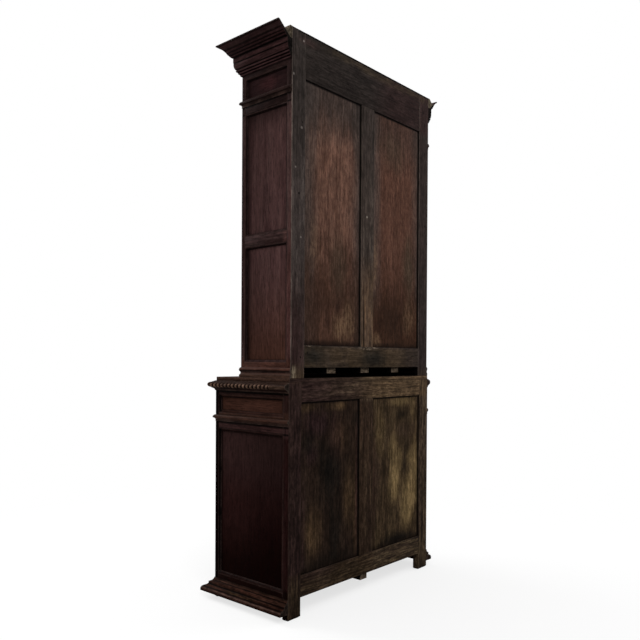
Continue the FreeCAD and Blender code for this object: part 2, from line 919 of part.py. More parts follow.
node("shelf_cleats", *pair(lower_cleat, *cleats))

# Mouldings of the upper case

plinth_top = upper_foot + size("plinth_height")
plinth_edge = size("plinth_projection")
quirk = upper_foot + size("plinth_board")
plinth_profile = [
    (ZERO, upper_foot),
    (plinth_edge, upper_foot),
    (plinth_edge, quirk),
    hollow_to(size("plinth_quirk_reach"), quirk + size("plinth_quirk_height"), SHALLOW),
    (plinth_edge, plinth_top - size("plinth_bead") - size("plinth_quirk_reach")),
    (plinth_edge, plinth_top - size("plinth_bead")),
    round_to(ZERO, plinth_top, SHALLOW),
]
node(
    "plinth_mouldings",
    *moulding("plinth_moulding", plinth_profile, upper_half, upper_front, back, plinth_edge),
)

astragal("upper_astragal", upper_rails[2][0] + size("upper_astragal_low"), upper_half, upper_front)

crown_top = upper_top + size("crown_rise_height")
crown_foot = crown_top - size("crown_height")
BED_BEADS = 3
bed_low = crown_foot - size("bed_height")
bed_edge = size("bed_projection")
fascia_low = crown_foot - size("bed_fascia")
bed_profile = [(ZERO, bed_low)]
bead_foot = (size("bed_bead_step"), bed_low)
for bead in range(BED_BEADS):
    bead_head = (bead_foot[0] + size("bed_bead_reach"), bead_foot[1] + size("bed_bead_height"))
    bed_profile += [bead_foot, round_to(*bead_head)]
    bead_foot = (bead_head[0] + size("bed_bead_step"), bead_head[1])
quirk_reach = bead_foot[0] - size("bed_quirk_depth")
quirk_top = bead_foot[1] + size("bed_quirk_height")
bed_profile += [
    (quirk_reach, bead_foot[1]),
    (quirk_reach, quirk_top),
    (bead_foot[0], quirk_top),
    round_to(bed_edge - size("bed_fascia_step"), fascia_low, FLAT),
    (bed_edge, fascia_low),
    (bed_edge, crown_foot),
    (ZERO, crown_foot),
]
node("bed_mouldings", *moulding("bed_moulding", bed_profile, upper_half, upper_front, back, bed_edge))

crown_edge = size("crown_projection")
crown_foot_reach = size("crown_foot_reach")
band_top = (crown_foot_reach + size("crown_band_reach"), crown_foot + size("crown_band_height"))
lip_low = crown_top - size("crown_lip")
crown_profile = [
    (crown_foot_reach - size("crown_width"), crown_foot),
    (crown_foot_reach, crown_foot),
    round_to(*band_top, FLAT),
    (band_top[0] + size("crown_band_step"), band_top[1]),
    hollow_to(crown_edge - size("crown_lip_step"), lip_low, FLAT),
    (crown_edge, lip_low),
    (crown_edge, crown_top),
    (crown_edge - size("crown_lip_width"), crown_top),
]
node("crown_mouldings", *moulding("crown_moulding", crown_profile, upper_half, upper_front, back, crown_edge))

# Glue blocks behind the crown, on the bed moulding; the rear ones close the crown's ends up to the posts' tops

block_rise = rails_top - crown_foot
block_low_reach = crown_foot_reach - size("crown_width")
crown_lean = crown_edge - size("crown_lip_width") - block_low_reach
block_reach = block_low_reach + Size(
    block_rise.value * crown_lean.value / size("crown_height").value,
    f"({block_rise.formula} * {crown_lean.formula} / Sizes.crown_height)",
)
block_seat = [(ZERO, crown_foot), (block_low_reach, crown_foot), (block_reach, rails_top)]
block_section = [*block_seat, (ZERO, rails_top)]
half_block = size("crown_block_length") / 2
side_middle = (upper_inner_front + upper_inner_rear) / 2
side_block = strip(
    "side_glue_block",
    [(upper_half + across, up) for across, up in block_section],
    (side_middle - half_block, side_middle + half_block),
)
rear_section = [*block_seat, (size("crown_block_head"), upper_top), (ZERO, upper_top)]
rear_block = strip(
    "rear_glue_block",
    [(upper_half + across, up) for across, up in rear_section],
    (back - size("crown_block_length"), back),
)
front_block = doc.addObject("PartDesign::Body", "front_glue_block")
block_sketch = sketch_on(front_block, "YZ_Plane", upper_opening / 2 - half_block)
outline(block_sketch, [(upper_front - across, up) for across, up in block_section], hand=-1)
pad(front_block, block_sketch, half_block * 2)
node("crown_blocks", *pair(side_block, rear_block, front_block))


# Doors

def door_frame(case, x, y, z, stile, rail, room_y):
    """Two stiles with the rails tenoned between them, cut away over room_y for a pane or a panel."""
    inner_x = (x[0] + stile, x[1] - stile)
    inner_z = (z[0] + rail, z[1] - rail)
    room = size("rebate_width")
    opening = block(
        f"{case}_door_room", (inner_x[0] - room, inner_x[1] + room), room_y, (inner_z[0] - room, inner_z[1] + room)
    )
    middle = y[0] + size("tenon_thickness")
    tenon_y = (middle - size("tenon_thickness") / 2, middle + size("tenon_thickness") / 2)
    tenon_x = (inner_x[0] - size("tenon_length"), inner_x[1] + size("tenon_length"))
    shoulder = size("tenon_shoulder") + room
    tenons = []
    made = []
    for name, low, high in (("bottom", z[0], inner_z[0]), ("top", inner_z[1], z[1])):
        tenon_z = (low + size("tenon_shoulder"), high - shoulder)
        if name == "top":
            tenon_z = (low + shoulder, high - size("tenon_shoulder"))
        tenon = block(f"{case}_door_{name}_tenon", tenon_x, tenon_y, tenon_z)
        bar = block(f"{case}_door_{name}_bar", inner_x, y, (low, high))
        made.append(cut(f"{case}_door_{name}_rail", fuse(f"{case}_door_{name}_tenoned", bar, tenon), opening))
        tenons.append(tenon)
    for name, low, high in (("meeting", x[0], inner_x[0]), ("hanging", inner_x[1], x[1])):
        bar = block(f"{case}_door_{name}_bar", (low, high), y, z)
        made.append(cut(f"{case}_door_{name}_stile", bar, opening, *tenons))
    return made, inner_x, inner_z


def door_bead(name, face, crest, x, z):
    """A quarter-round bead on the front of a pane or panel, against the frame."""
    bead = size("door_bead")
    section = [(x[1], face), (x[1] - bead, face), round_to(x[1], crest)]
    return bead_ring(name, "XZ_Plane", -face, x, z, section)


half_gap = size("door_gap") / 2
lower_axis_x = lower_opening - size("hinge_gap") / 2
upper_axis_x = upper_opening - size("hinge_gap") / 2

upper_door_x = (half_gap, upper_opening - size("hinge_gap"))
upper_door_y = (upper_front, upper_front + size("door_thickness"))
upper_door_z = (upper_rails[0][1] + size("door_gap"), upper_rails[2][0] - size("door_gap"))
rebate_y = (upper_door_y[1] - size("rebate_depth"), upper_door_y[1])
frame, pane_x, pane_z = door_frame(
    "upper", upper_door_x, upper_door_y, upper_door_z, size("upper_stile_width"),
    size("upper_door_rail_height"), rebate_y,
)
crest = upper_front + size("panel_bead_sink")
frame.append(door_bead("upper_door_bead", rebate_y[0], crest, pane_x, pane_z))
room = size("rebate_width") - size("glass_slack")
glass_y = (rebate_y[0], rebate_y[0] + size("glass_thickness"))
both_sides(
    "upper_door_glass",
    block("glass", (pane_x[0] - room, pane_x[1] + room), glass_y, (pane_z[0] - room, pane_z[1] + room)),
)
full = size("rebate_width")
stop_y = (glass_y[1], rebate_y[1])
stop_z = (pane_z[0] - full, pane_z[1] + full)
frame += [
    block("glass_stop_meeting", (pane_x[0] - full, pane_x[0]), stop_y, stop_z),
    block("glass_stop_hanging", (pane_x[1], pane_x[1] + full), stop_y, stop_z),
    block("glass_stop_bottom", pane_x, stop_y, (stop_z[0], pane_z[0])),
    block("glass_stop_top", pane_x, stop_y, (pane_z[1], stop_z[1])),
]
both_sides("upper_door_frame", *frame)

lower_door_x = (half_gap, lower_opening - size("hinge_gap"))
lower_door_y = (lower_front, lower_front + size("door_thickness"))
lower_door_z = (lower_rails[0][1] + size("door_gap"), lower_rails[1][0] - size("door_gap"))
panel_rear = lower_door_y[1] - size("panel_groove_back")
panel_y = (panel_rear - size("door_panel_thickness"), panel_rear)
frame, field_x, field_z = door_frame(
    "lower", lower_door_x, lower_door_y, lower_door_z, size("lower_stile_width"),
    size("lower_door_rail_height"), panel_y,
)
both_sides("lower_door_frame", *frame)

# Raised panel of the cupboard door: a tongued board, a bevel and a flat field

room = size("rebate_width") - slack
board = block(
    "door_panel_board", (field_x[0] - room, field_x[1] + room), panel_y, (field_z[0] - room, field_z[1] + room)
)
bevel = doc.addObject("Part::Wedge", "door_panel_bevel")
margin = size("field_margin")
crest = panel_y[0] - size("field_rise")
for prop, length in {
    "Xmin": field_x[0] + margin, "Xmax": field_x[1] - margin,
    "Zmin": field_z[0] + margin, "Zmax": field_z[1] - margin,
    "X2min": field_x[0], "X2max": field_x[1],
    "Z2min": field_z[0], "Z2max": field_z[1],
    "Ymin": crest, "Ymax": panel_y[0],
}.items():
    bind(bevel, prop, length)
field = block(
    "door_panel_field",
    (field_x[0] + margin, field_x[1] - margin),
    (crest - size("field_fillet"), crest),
    (field_z[0] + margin, field_z[1] - margin),
)
both_sides("lower_door_panel", fuse("door_panel", board, bevel, field))


# Lift-off hinges: the lower knuckle and its pin are fixed to the post, the upper knuckle to the door

def barrel(name, radius, x, y, low, length):
    rod = doc.addObject("Part::Cylinder", name)
    bind(rod, "Radius", radius)
    bind(rod, "Height", length)
    for axis, place in zip("xyz", (x, y, low)):
        bind(rod, f"Placement.Base.{axis}", place)
    return rod


def hinge(name, axis_x, front, middle):
    """The two halves of one hinge, on the right-hand side."""
    axis_y = front - size("hinge_radius") - size("hinge_clearance")
    knuckle = size("hinge_knuckle")
    clear = size("hinge_clearance")
    half = size("hinge_gap") / 2
    apart = size("hinge_leaf_clearance")
    leaf_y = (axis_y, front + size("hinge_leaf_depth"))
    low = middle - knuckle
    fixed = fuse(
        f"{name}_post_half",
        barrel(f"{name}_post_knuckle", size("hinge_radius"), axis_x, axis_y, low, knuckle),
        barrel(f"{name}_pin", size("hinge_pin_radius"), axis_x, axis_y, low, knuckle * 2),
        block(f"{name}_post_leaf", (axis_x + apart, axis_x + half), leaf_y, (low, middle)),
    )
    upper = middle + clear
    bore = size("hinge_pin_radius") + size("hinge_bore_clearance")
    hung = fuse(
        f"{name}_door_body",
        barrel(f"{name}_door_knuckle", size("hinge_radius"), axis_x, axis_y, upper, knuckle),
        block(f"{name}_door_leaf", (axis_x - half, axis_x - apart), leaf_y, (upper, upper + knuckle)),
    )
    hole = barrel(f"{name}_bore", bore, axis_x, axis_y, upper, knuckle - clear)
    return fixed, cut(f"{name}_door_half", hung, hole)


# Turned knobs: a rose on the face, a neck and a rounded head

def knob(name, x, front, z):
    body = doc.addObject("PartDesign::Body", name)
    for axis, place in zip("xyz", (x, front, z)):
        bind(body, f"Placement.Base.{axis}", place)
    sketch = sketch_on(body, "XY_Plane")
    rose = size("knob_rose_thickness")
    neck_end = rose + size("knob_neck_length")
    outline(
        sketch,
        [
            (ZERO, ZERO),
            (size("knob_rose_radius"), ZERO),
            (size("knob_rose_radius"), -rose),
            hollow_to(size("knob_neck_radius"), -neck_end),
            (size("knob_head_radius"), -neck_end - rose),
            round_to(size("knob_tip_radius"), -size("knob_length")),
            (ZERO, -size("knob_length")),
        ],
        hand=-1,
    )
    turned = body.newObject("PartDesign::Revolution", f"{name}_turned")
    turned.Profile = sketch
    turned.ReferenceAxis = (sketch, ["V_Axis"])
    turned.Angle = 360
    return body


post_halves = []
for case, axis_x, front, door_z, stile, steps in (
    ("upper", upper_axis_x, upper_front, upper_door_z, size("upper_stile_width"), 3),
    ("lower", lower_axis_x, lower_front, lower_door_z, size("lower_stile_width"), 2),
):
    inset = size(f"{case}_hinge_inset")
    spread = (door_z[1] - door_z[0] - inset * 2) / (steps - 1)
    door_halves = []
    for index in range(steps):
        fixed, hung = hinge(f"{case}_hinge_{index + 1}", axis_x, front, door_z[0] + inset + spread * index)
        post_halves.append(fixed)
        door_halves.append(hung)
    middle = (door_z[0] + door_z[1]) / 2
    door_knob = knob(f"{case}_door_knob", half_gap + stile / 2, front, middle)
    both_sides(f"{case}_door_fittings", *door_halves, door_knob)
node("hinge_post_halves", *pair(*post_halves))

# Drawers: a front, two grooved sides, a back over the bottom board, and a knob

clear = size("drawer_clearance")
wall = size("drawer_side_thickness")
drawer_x = (half_divider + clear, lower_opening - clear)
drawer_low = drawer_floor + size("drawer_running_gap")
front_y = (lower_front, lower_front + size("drawer_front_thickness"))
box_y = (front_y[1], lower_front + size("drawer_length"))
side_z = (drawer_low, drawer_low + size("drawer_side_height"))
bottom_low = drawer_low + size("drawer_bottom_lift")
bottom_z = (bottom_low, bottom_low + size("drawer_bottom_thickness"))
let_in = size("drawer_bottom_groove")
drawer_bottom = block(
    "drawer_bottom",
    (drawer_x[0] + wall - let_in, drawer_x[1] - wall + let_in),
    (front_y[1] - let_in, box_y[1]),
    bottom_z,
)
drawer_front = cut(
    "drawer_front", block("drawer_front_board", drawer_x, front_y, (drawer_floor + clear, drawer_roof - clear)),
    drawer_bottom,
)
drawer_sides = [
    cut(f"drawer_{name}_side", block(f"drawer_{name}_side_board", x, box_y, side_z), drawer_bottom)
    for name, x in (
        ("inner", (drawer_x[0], drawer_x[0] + wall)),
        ("outer", (drawer_x[1] - wall, drawer_x[1])),
    )
]
drawer_back = block(
    "drawer_back", (drawer_x[0] + wall, drawer_x[1] - wall), (box_y[1] - wall, box_y[1]), (bottom_z[1], side_z[1])
)
drawer_knob = knob("drawer_knob", (drawer_x[0] + drawer_x[1]) / 2, lower_front, (drawer_floor + drawer_roof) / 2)
both_sides("drawer_front", drawer_front, drawer_knob)
both_sides("drawer_box", *drawer_sides, drawer_back, drawer_bottom)

# Checks, then one file for each node

doc.recompute()
for thing in doc.Objects:
    if "Invalid" in thing.State or "Error" in thing.State:
        raise RuntimeError(f"{thing.Label} failed: {thing.State}")
for piece in nodes:
    if piece.Shape.isNull() or not piece.Shape.isValid() or not piece.Shape.Solids:
        raise RuntimeError(f"{piece.Label} has no valid solid")

os.makedirs("parts", exist_ok=True)
for piece in nodes:
    piece.Shape.exportStep(f"parts/{piece.Label}.step")
    print(f"{piece.Label}: {len(piece.Shape.Solids)} solids, {piece.Shape.Volume / 1000:.0f} cm3")
print(len(nodes), "nodes")
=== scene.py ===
import itertools
import json
import math

import bmesh
import bpy
from mathutils import Matrix, Vector

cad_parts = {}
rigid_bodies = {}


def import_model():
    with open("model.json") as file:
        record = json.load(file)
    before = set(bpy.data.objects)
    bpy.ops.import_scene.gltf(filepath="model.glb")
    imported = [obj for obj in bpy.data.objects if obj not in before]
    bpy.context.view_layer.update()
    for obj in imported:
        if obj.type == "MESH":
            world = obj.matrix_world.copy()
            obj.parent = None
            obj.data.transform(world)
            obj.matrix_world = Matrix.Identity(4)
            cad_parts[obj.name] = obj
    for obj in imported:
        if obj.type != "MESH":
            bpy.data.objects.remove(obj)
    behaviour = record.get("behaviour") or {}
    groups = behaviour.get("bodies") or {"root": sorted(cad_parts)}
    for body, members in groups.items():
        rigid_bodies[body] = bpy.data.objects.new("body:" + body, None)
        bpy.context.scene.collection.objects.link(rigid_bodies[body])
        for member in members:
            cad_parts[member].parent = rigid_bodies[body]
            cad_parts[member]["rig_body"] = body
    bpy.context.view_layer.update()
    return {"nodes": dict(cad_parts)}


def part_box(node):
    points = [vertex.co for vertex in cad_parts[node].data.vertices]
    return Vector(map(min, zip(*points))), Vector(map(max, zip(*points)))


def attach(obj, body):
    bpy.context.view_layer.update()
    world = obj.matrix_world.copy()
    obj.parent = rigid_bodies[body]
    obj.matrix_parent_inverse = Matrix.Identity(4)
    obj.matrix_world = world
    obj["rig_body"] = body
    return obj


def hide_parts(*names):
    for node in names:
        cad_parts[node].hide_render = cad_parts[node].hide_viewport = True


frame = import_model()

# Rear posts: four oak uprights, the lower pair running down to the floor as feet.
# Sawn and left raw on the back, stained and waxed on the outer side, grooved for the frames between them.

SIDES = ("left", "right")
OUTER_ARRIS = 0.0022
FOOT_ROUND = 0.008
ON_FLOOR = 0.0005
FLAT_TURN = 0.01
ROUNDED_TURN = math.radians(40)
SHARP_TURN = math.radians(50)
GRAIN_SHIFT = Vector((0.73, 1.31, 2.17))
TONE_STEP = 0.618
solid_count = itertools.count()


def closed_solids(node):
    """The separate solids of a node: one ends where every edge has met its neighbour."""
    mesh = frame["nodes"][node].data
    spots = [tuple(round(c, 5) for c in vertex.co) for vertex in mesh.vertices]
    solids = []
    faces = []
    unmet = {}
    for face in mesh.polygons:
        corners = [spots[index] for index in face.vertices]
        faces.append(corners)
        for start, end in zip(corners, corners[1:] + corners[:1]):
            if (end, start) in unmet:
                unmet[end, start] -= 1
                if not unmet[end, start]:
                    del unmet[end, start]
            else:
                unmet[start, end] = unmet.get((start, end), 0) + 1
        if not unmet:
            solids.append(faces)
            faces = []
    return solids


def solid_mesh(faces):
    """One solid with its flat faces whole again."""
    work = bmesh.new()
    points = {}
    for corners in faces:
        for spot in corners:
            if spot not in points:
                points[spot] = work.verts.new(spot)
        work.faces.new([points[spot] for spot in corners])
    bmesh.ops.dissolve_limit(work, angle_limit=FLAT_TURN, verts=work.verts, edges=work.edges)
    return work


def mark_grain(work):
    """Keeps at each point its place across and along the length of the timber, different for each piece."""
    number = next(solid_count)
    low = [min(vertex.co[axis] for vertex in work.verts) for axis in range(3)]
    high = [max(vertex.co[axis] for vertex in work.verts) for axis in range(3)]
    along = max(range(3), key=lambda axis: high[axis] - low[axis])
    across = [axis for axis in range(3) if axis != along]
    grain = work.verts.layers.float_vector.new("grain")
    tone = work.verts.layers.float.new("tone")
    for vertex in work.verts:
        place = vertex.co
        vertex[grain] = Vector((place[across[0]], place[across[1]], place[along])) + GRAIN_SHIFT * number
        vertex[tone] = number * TONE_STEP % 1


def bevel(work, edges, width, segments):
    bmesh.ops.bevel(
        work, geom=edges, offset=width, offset_type="OFFSET", segments=segments, profile=0.5,
        affect="EDGES", clamp_overlap=True,
    )


def round_arrises(work, arris):
    """Wears the outward corners round."""
    corners = [
        edge for edge in work.edges
        if edge.is_manifold and edge.is_convex and edge.calc_face_angle() > ROUNDED_TURN
    ]
    if corners and arris:
        bevel(work, corners, arris, 2)


def round_foot(work):
    """Wears the end that stands on the floor round."""
    ends = [edge for edge in work.edges if all(vertex.co.z < ON_FLOOR for vertex in edge.verts)]
    bevel(work, ends, FOOT_ROUND, 3)
    for vertex in work.verts:
        vertex.co.z = max(vertex.co.z, 0.0)


def finished_piece(name, work, materials, choose=None):
    """Makes an object of a mesh; choose gives a face's material from its middle and its direction."""
    mesh = bpy.data.meshes.new(name)
    work.to_mesh(mesh)
    work.free()
    for material in materials:
        mesh.materials.append(material)
    if choose:
        for face in mesh.polygons:
            face.material_index = choose(face.center, face.normal)
    mesh.shade_smooth()
    mesh.set_sharp_from_angle(angle=SHARP_TURN)
    piece = bpy.data.objects.new(name, mesh)
    bpy.context.scene.collection.objects.link(piece)
    return piece


def add_to(whole, work):
    """Adds a worked solid to the mesh of its whole node."""
    part = bpy.data.meshes.new("part")
    work.to_mesh(part)
    work.free()
    whole.from_mesh(part)
    bpy.data.meshes.remove(part)


def dress(node, arris, materials, choose=None, shape=None):
    """Puts a worn copy of a node in its place, each solid first worked by shape where that is given."""
    whole = bmesh.new()
    for faces in closed_solids(node):
        work = solid_mesh(faces)
        if shape:
            shape(work)
        round_arrises(work, arris)
        mark_grain(work)
        add_to(whole, work)
    piece = finished_piece(f"{node}_timber", whole, materials, choose)
    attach(piece, frame["nodes"][node]["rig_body"])
    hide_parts(node)


def put(tree, kind, fill=None, **settings):
    """Places a shader node, with its settings, and values or links for its inputs."""
    node = tree.nodes.new(kind)
    for name, value in settings.items():
        setattr(node, name, value)
    for key, value in (fill or {}).items():
        if isinstance(value, bpy.types.NodeSocket):
            tree.links.new(value, node.inputs[key])
        else:
            node.inputs[key].default_value = value
    return node


def join(source, target):
    """Links two sockets in the tree that they belong to."""
    source.id_data.links.new(source, target)


def math_of(what, first, second=0.0):
    return put(first.id_data, "ShaderNodeMath", {0: first, 1: second}, operation=what).outputs[0]


def times(*values):
    product = values[0]
    for value in values[1:]:
        product = math_of("MULTIPLY", product, value)
    return product


def ramp(value, start, end, low=0.0, high=1.0):
    """Runs smoothly from low to high while the value goes from start to end."""
    fill = {0: value, 1: start, 2: end, 3: low, 4: high}
    if start > end:
        fill = {0: value, 1: end, 2: start, 3: high, 4: low}
    return put(value.id_data, "ShaderNodeMapRange", fill, interpolation_type="SMOOTHSTEP").outputs[0]


def band(value, low, high, soft):
    """One between two levels, fading over a soft edge at each."""
    return times(ramp(value, low - soft, low + soft), ramp(value, high + soft, high - soft))


def vector_of(what, first, second):
    return put(first.id_data, "ShaderNodeVectorMath", {0: first, 1: second}, operation=what).outputs[0]


def scaled(vector, x, y, z):
    return vector_of("MULTIPLY", vector, (x, y, z))


def length_of(vector):
    return put(vector.id_data, "ShaderNodeVectorMath", {0: vector}, operation="LENGTH").outputs["Value"]


def cloud(vector, scale, detail=3.0, roughness=0.6):
    fill = {"Vector": vector, "Scale": scale, "Detail": detail, "Roughness": roughness}
    return put(vector.id_data, "ShaderNodeTexNoise", fill).outputs[0]


def axis_of(vector, axis):
    return put(vector.id_data, "ShaderNodeSeparateXYZ", {0: vector}).outputs[axis]


def painted(colour, over, *strengths):
    """Lays a colour over another, as strongly as the strengths multiplied together."""
    plain = isinstance(colour, tuple)
    tree = (strengths[0] if plain else colour).id_data
    fill = {0: times(*strengths), 6: (*colour, 1) if plain else colour, 7: (*over, 1)}
    return put(tree, "ShaderNodeMix", fill, data_type="RGBA").outputs[2]


def shaded(colour, strength):
    fill = {0: colour, "Scale": strength}
    return put(colour.id_data, "ShaderNodeVectorMath", fill, operation="SCALE").outputs[0]


def emboss(shader, height, strength, depth):
    """Gives a shader a fine relief."""
    bump = put(height.id_data, "ShaderNodeBump", {"Height": height, "Strength": strength, "Distance": depth})
    join(bump.outputs[0], shader.inputs["Normal"])


def new_material(name):
    """A material with its node tree and its shader."""
    material = bpy.data.materials.new(name)
    material.use_nodes = True
    return material, material.node_tree, material.node_tree.nodes["Principled BSDF"]


def new_group(name, inputs, outputs):
    """An empty node group with its sockets, and the nodes that stand for them."""
    tree = bpy.data.node_groups.new(name, "ShaderNodeTree")
    for label, kind in inputs:
        tree.interface.new_socket(label, in_out="INPUT", socket_type=f"NodeSocket{kind}")
    for label in outputs:
        tree.interface.new_socket(label, in_out="OUTPUT", socket_type="NodeSocketFloat")
    return tree, tree.nodes.new("NodeGroupInput").outputs, tree.nodes.new("NodeGroupOutput").inputs


# The figure of oak: growth bands, fibres, open pores and longer pale runs, all drawn out along the grain.
oak_figure, given, made = new_group(
    "oak figure", [("Grain", "Vector"), ("Fineness", "Float")], ["Bands", "Fibre", "Pores", "Runs"],
)
wander = put(oak_figure, "ShaderNodeTexNoise", {"Vector": scaled(given["Grain"], 1, 1, 0.3), "Scale": 4.0})
bent = vector_of("ADD", given["Grain"], scaled(wander.outputs[1], 0.03, 0.03, 0.0))
for label, draw, finer, detail, roughness, start, end in (
    ("Bands", 0.05, 1.0, 5.0, 0.62, 0.33, 0.67),
    ("Fibre", 0.05, 3.6, 5.0, 0.72, 0.32, 0.68),
    ("Pores", 0.08, 9.0, 2.0, 0.6, 0.54, 0.66),
    ("Runs", 0.09, 1.7, 5.0, 0.68, 0.48, 0.66),
):
    lines = cloud(scaled(bent, 1, 1, draw), times(given["Fineness"], finer), detail, roughness)
    join(ramp(lines, start, end), made[label])

# Rubbing, grime and painted shade: arrises rubbed by hands; painted shade with grime in corners, blacker in
# narrow crevices.
handling_and_shade, given, made = new_group(
    "rubbing, grime and painted shade", [("Place", "Vector")], ["Rubbed", "Grime and shade", "Crevice"],
)
inner = put(
    handling_and_shade, "ShaderNodeAmbientOcclusion", {"Distance": 0.006}, samples=6, inside=True, only_local=True,
)
patchy = ramp(cloud(given["Place"], 14.0, 5.0, 0.7), 0.35, 0.65, 0.2, 1.0)
join(times(ramp(inner.outputs["AO"], 0.92, 0.55), patchy), made["Rubbed"])
# Ambient occlusion outside the surface: painted shade, with grime, in corners and narrow crevices.
for label, reach, start in (("Grime and shade", 0.025, 0.93), ("Crevice", 0.007, 0.8)):
    outer = put(handling_and_shade, "ShaderNodeAmbientOcclusion", {"Distance": reach}, samples=6)
    join(ramp(outer.outputs["AO"], start, 0.45), made[label])

# Ageing: wide clouds, blotches and flecks of tone, a ragged edge for stains, and dust on what faces up.
ageing, given, made = new_group(
    "ageing", [("Place", "Vector"), ("Grain", "Vector")], ["Clouds", "Blotches", "Flecks", "Ragged", "Dust"],
)
join(ramp(cloud(given["Place"], 5.0, 4.0, 0.65), 0.32, 0.68), made["Clouds"])
blotches = cloud(scaled(given["Grain"], 1, 1, 0.4), 22.0, 5.0, 0.7)
join(ramp(blotches, 0.34, 0.66), made["Blotches"])
flecks = cloud(scaled(given["Grain"], 1, 1, 0.45), 75.0, 3.0, 0.75)
join(ramp(flecks, 0.36, 0.64), made["Flecks"])
join(cloud(scaled(given["Place"], 1, 1, 0.16), 30.0, 6.0, 0.75), made["Ragged"])
up = axis_of(put(ageing, "ShaderNodeNewGeometry").outputs["Normal"], "Z")
join(times(ramp(up, 0.25, 0.9), ramp(blotches, 0.3, 0.6, 0.35, 1.0)), made["Dust"])

# How strongly the figure, the wear, and the painted shade with grime show on any of the woods.
RUNS_SHOW = 0.45
PIECE_SHADES = (0.86, 1.12)
PORE_SHADE = 0.55
MOTTLE = (("Fibre", 1.0), ("Blotches", 0.6), ("Flecks", 0.7))
SHADE_AND_DIRT_SHOW = 0.85
RUBBING_SHOWS = 0.7
GRAIN_DEPTH = 0.0015
SOOT_AND_SHADE = (0.0012, 0.0009, 0.0008)
LODGED_DUST = (0.09, 0.075, 0.066)


def timber(name, tones, gloss, rough, fineness=26.0, contrast=0.45, relief=0.5, dust=0.0, stain=None):
    """Old wood in four tones: deep, middle and pale for the figure, and one for rubbed arrises.

    stain, where given, paints further marks: it gets the colour, and the places and marks on the wood.
    """
    material, tree, shader = new_material(name)
    deep, middle, pale, rubbed = tones
    place = put(tree, "ShaderNodeTexCoord").outputs["Object"]
    grain = put(tree, "ShaderNodeAttribute", attribute_name="grain").outputs["Vector"]
    tone = put(tree, "ShaderNodeAttribute", attribute_name="tone").outputs["Fac"]
    figure = put(tree, "ShaderNodeGroup", node_tree=oak_figure)
    figure.inputs["Fineness"].default_value = fineness
    age = put(tree, "ShaderNodeGroup", node_tree=ageing)
    handled_and_shaded = put(tree, "ShaderNodeGroup", node_tree=handling_and_shade)
    for group in (age, handled_and_shaded):
        join(place, group.inputs["Place"])
    for group in (figure, age):
        join(grain, group.inputs["Grain"])
    axes = put(tree, "ShaderNodeSeparateXYZ", {0: place}).outputs
    marks = {"Place": place, **axes, **figure.outputs, **age.outputs}
    colour = painted(deep, middle, marks["Bands"])
    colour = painted(colour, pale, marks["Runs"], RUNS_SHOW)
    if stain:
        colour = stain(colour, marks)
    shade = times(ramp(tone, 0.0, 1.0, *PIECE_SHADES), ramp(marks["Pores"], 0.0, 1.0, 1.0, PORE_SHADE))
    for label, share in MOTTLE:
        swing = contrast * share
        shade = times(shade, ramp(marks[label], 0.0, 1.0, 1 - swing, 1 + swing))
    colour = shaded(colour, shade)
    if dust:
        colour = painted(colour, LODGED_DUST, marks["Dust"], dust)
    # Painted shade with grime: corners and crevices darkened towards black.
    for dirt_and_shade in ("Grime and shade", "Crevice"):
        colour = painted(colour, SOOT_AND_SHADE, handled_and_shaded.outputs[dirt_and_shade], SHADE_AND_DIRT_SHOW)
    colour = painted(colour, rubbed, handled_and_shaded.outputs["Rubbed"], RUBBING_SHOWS)
    join(colour, shader.inputs["Base Color"])
    join(ramp(marks["Fibre"], 0.0, 1.0, rough - 0.08, rough + 0.1), shader.inputs["Roughness"])
    shader.inputs["Specular IOR Level"].default_value = gloss
    height = math_of("SUBTRACT", marks["Fibre"], marks["Pores"])
    emboss(shader, math_of("ADD", height, marks["Blotches"]), relief, GRAIN_DEPTH)
    return material


STAIN_EDGE = (2.25, 0.95)
RAGGEDNESS = 1.6


def patch(marks, across, up, wide, tall, axis=0):
    """A ragged stain round a place on the back, or on a side where axis is 1, strongest in its middle."""
    spot = [0.0, 0.0, up]
    reach = [0.0, 0.0, 1 / tall]
    spot[axis] = across
    reach[axis] = 1 / wide
    away = length_of(scaled(vector_of("SUBTRACT", marks["Place"], spot), *reach))
    return ramp(math_of("ADD", away, times(marks["Ragged"], RAGGEDNESS)), *STAIN_EDGE)


def dry_wood(marks):
    """Bleached fibres, closely speckled along the grain."""
    return times(ramp(marks["Fibre"], 0.1, 0.8, 0.4, 1.0), ramp(marks["Flecks"], 0.0, 0.8, 0.55, 1.0))


def nail_marks(colour, marks, tone, *spots):
    """Small round marks on the back at places (across, up, radius)."""
    for x, z, radius in spots:
        away = length_of(scaled(vector_of("SUBTRACT", marks["Place"], (x, 0.0, z)), 1, 0, 1))
        colour = painted(colour, tone, ramp(away, radius * 1.2, radius * 0.6))
    return colour


# Marks on the upper back: places (across, up, wide, tall) in metres, and nail marks: a tone, then places
# (across, up, radius).
DAMP_ON_RAIL = ((0.37, 1.075, 0.1, 0.05), (-0.045, 1.065, 0.1, 0.05))
CHIPS_ON_RAIL = ((0.4, 1.117, 0.022, 0.009), (0.0, 1.117, 0.05, 0.012), (-0.06, 1.122, 0.03, 0.01))
SPLIT_ON_POST = (0.487, 1.0, 0.016, 0.035)
RED_UNDER_TOP = (0.4, 2.365, 0.06, 0.018)
PALE_NAILS = (
    (0.13, 0.11, 0.1),
    (0.445, 2.007, 0.006), (0.435, 2.362, 0.005), (0.494, 2.212, 0.006),
    (0.447, 1.56, 0.004), (0.48, 1.84, 0.004),
)
DARK_NAILS = (
    (0.004, 0.003, 0.003),
    (0.459, 1.737, 0.0055), (-0.4775, 1.74, 0.005), (0.405, 1.088, 0.004),
    (0.445, 1.07, 0.004), (0.44, 2.03, 0.004),
)
CRACK_SLOPE = 0.0476
CRACK_LEVELS = (2.2873, 2.2899)
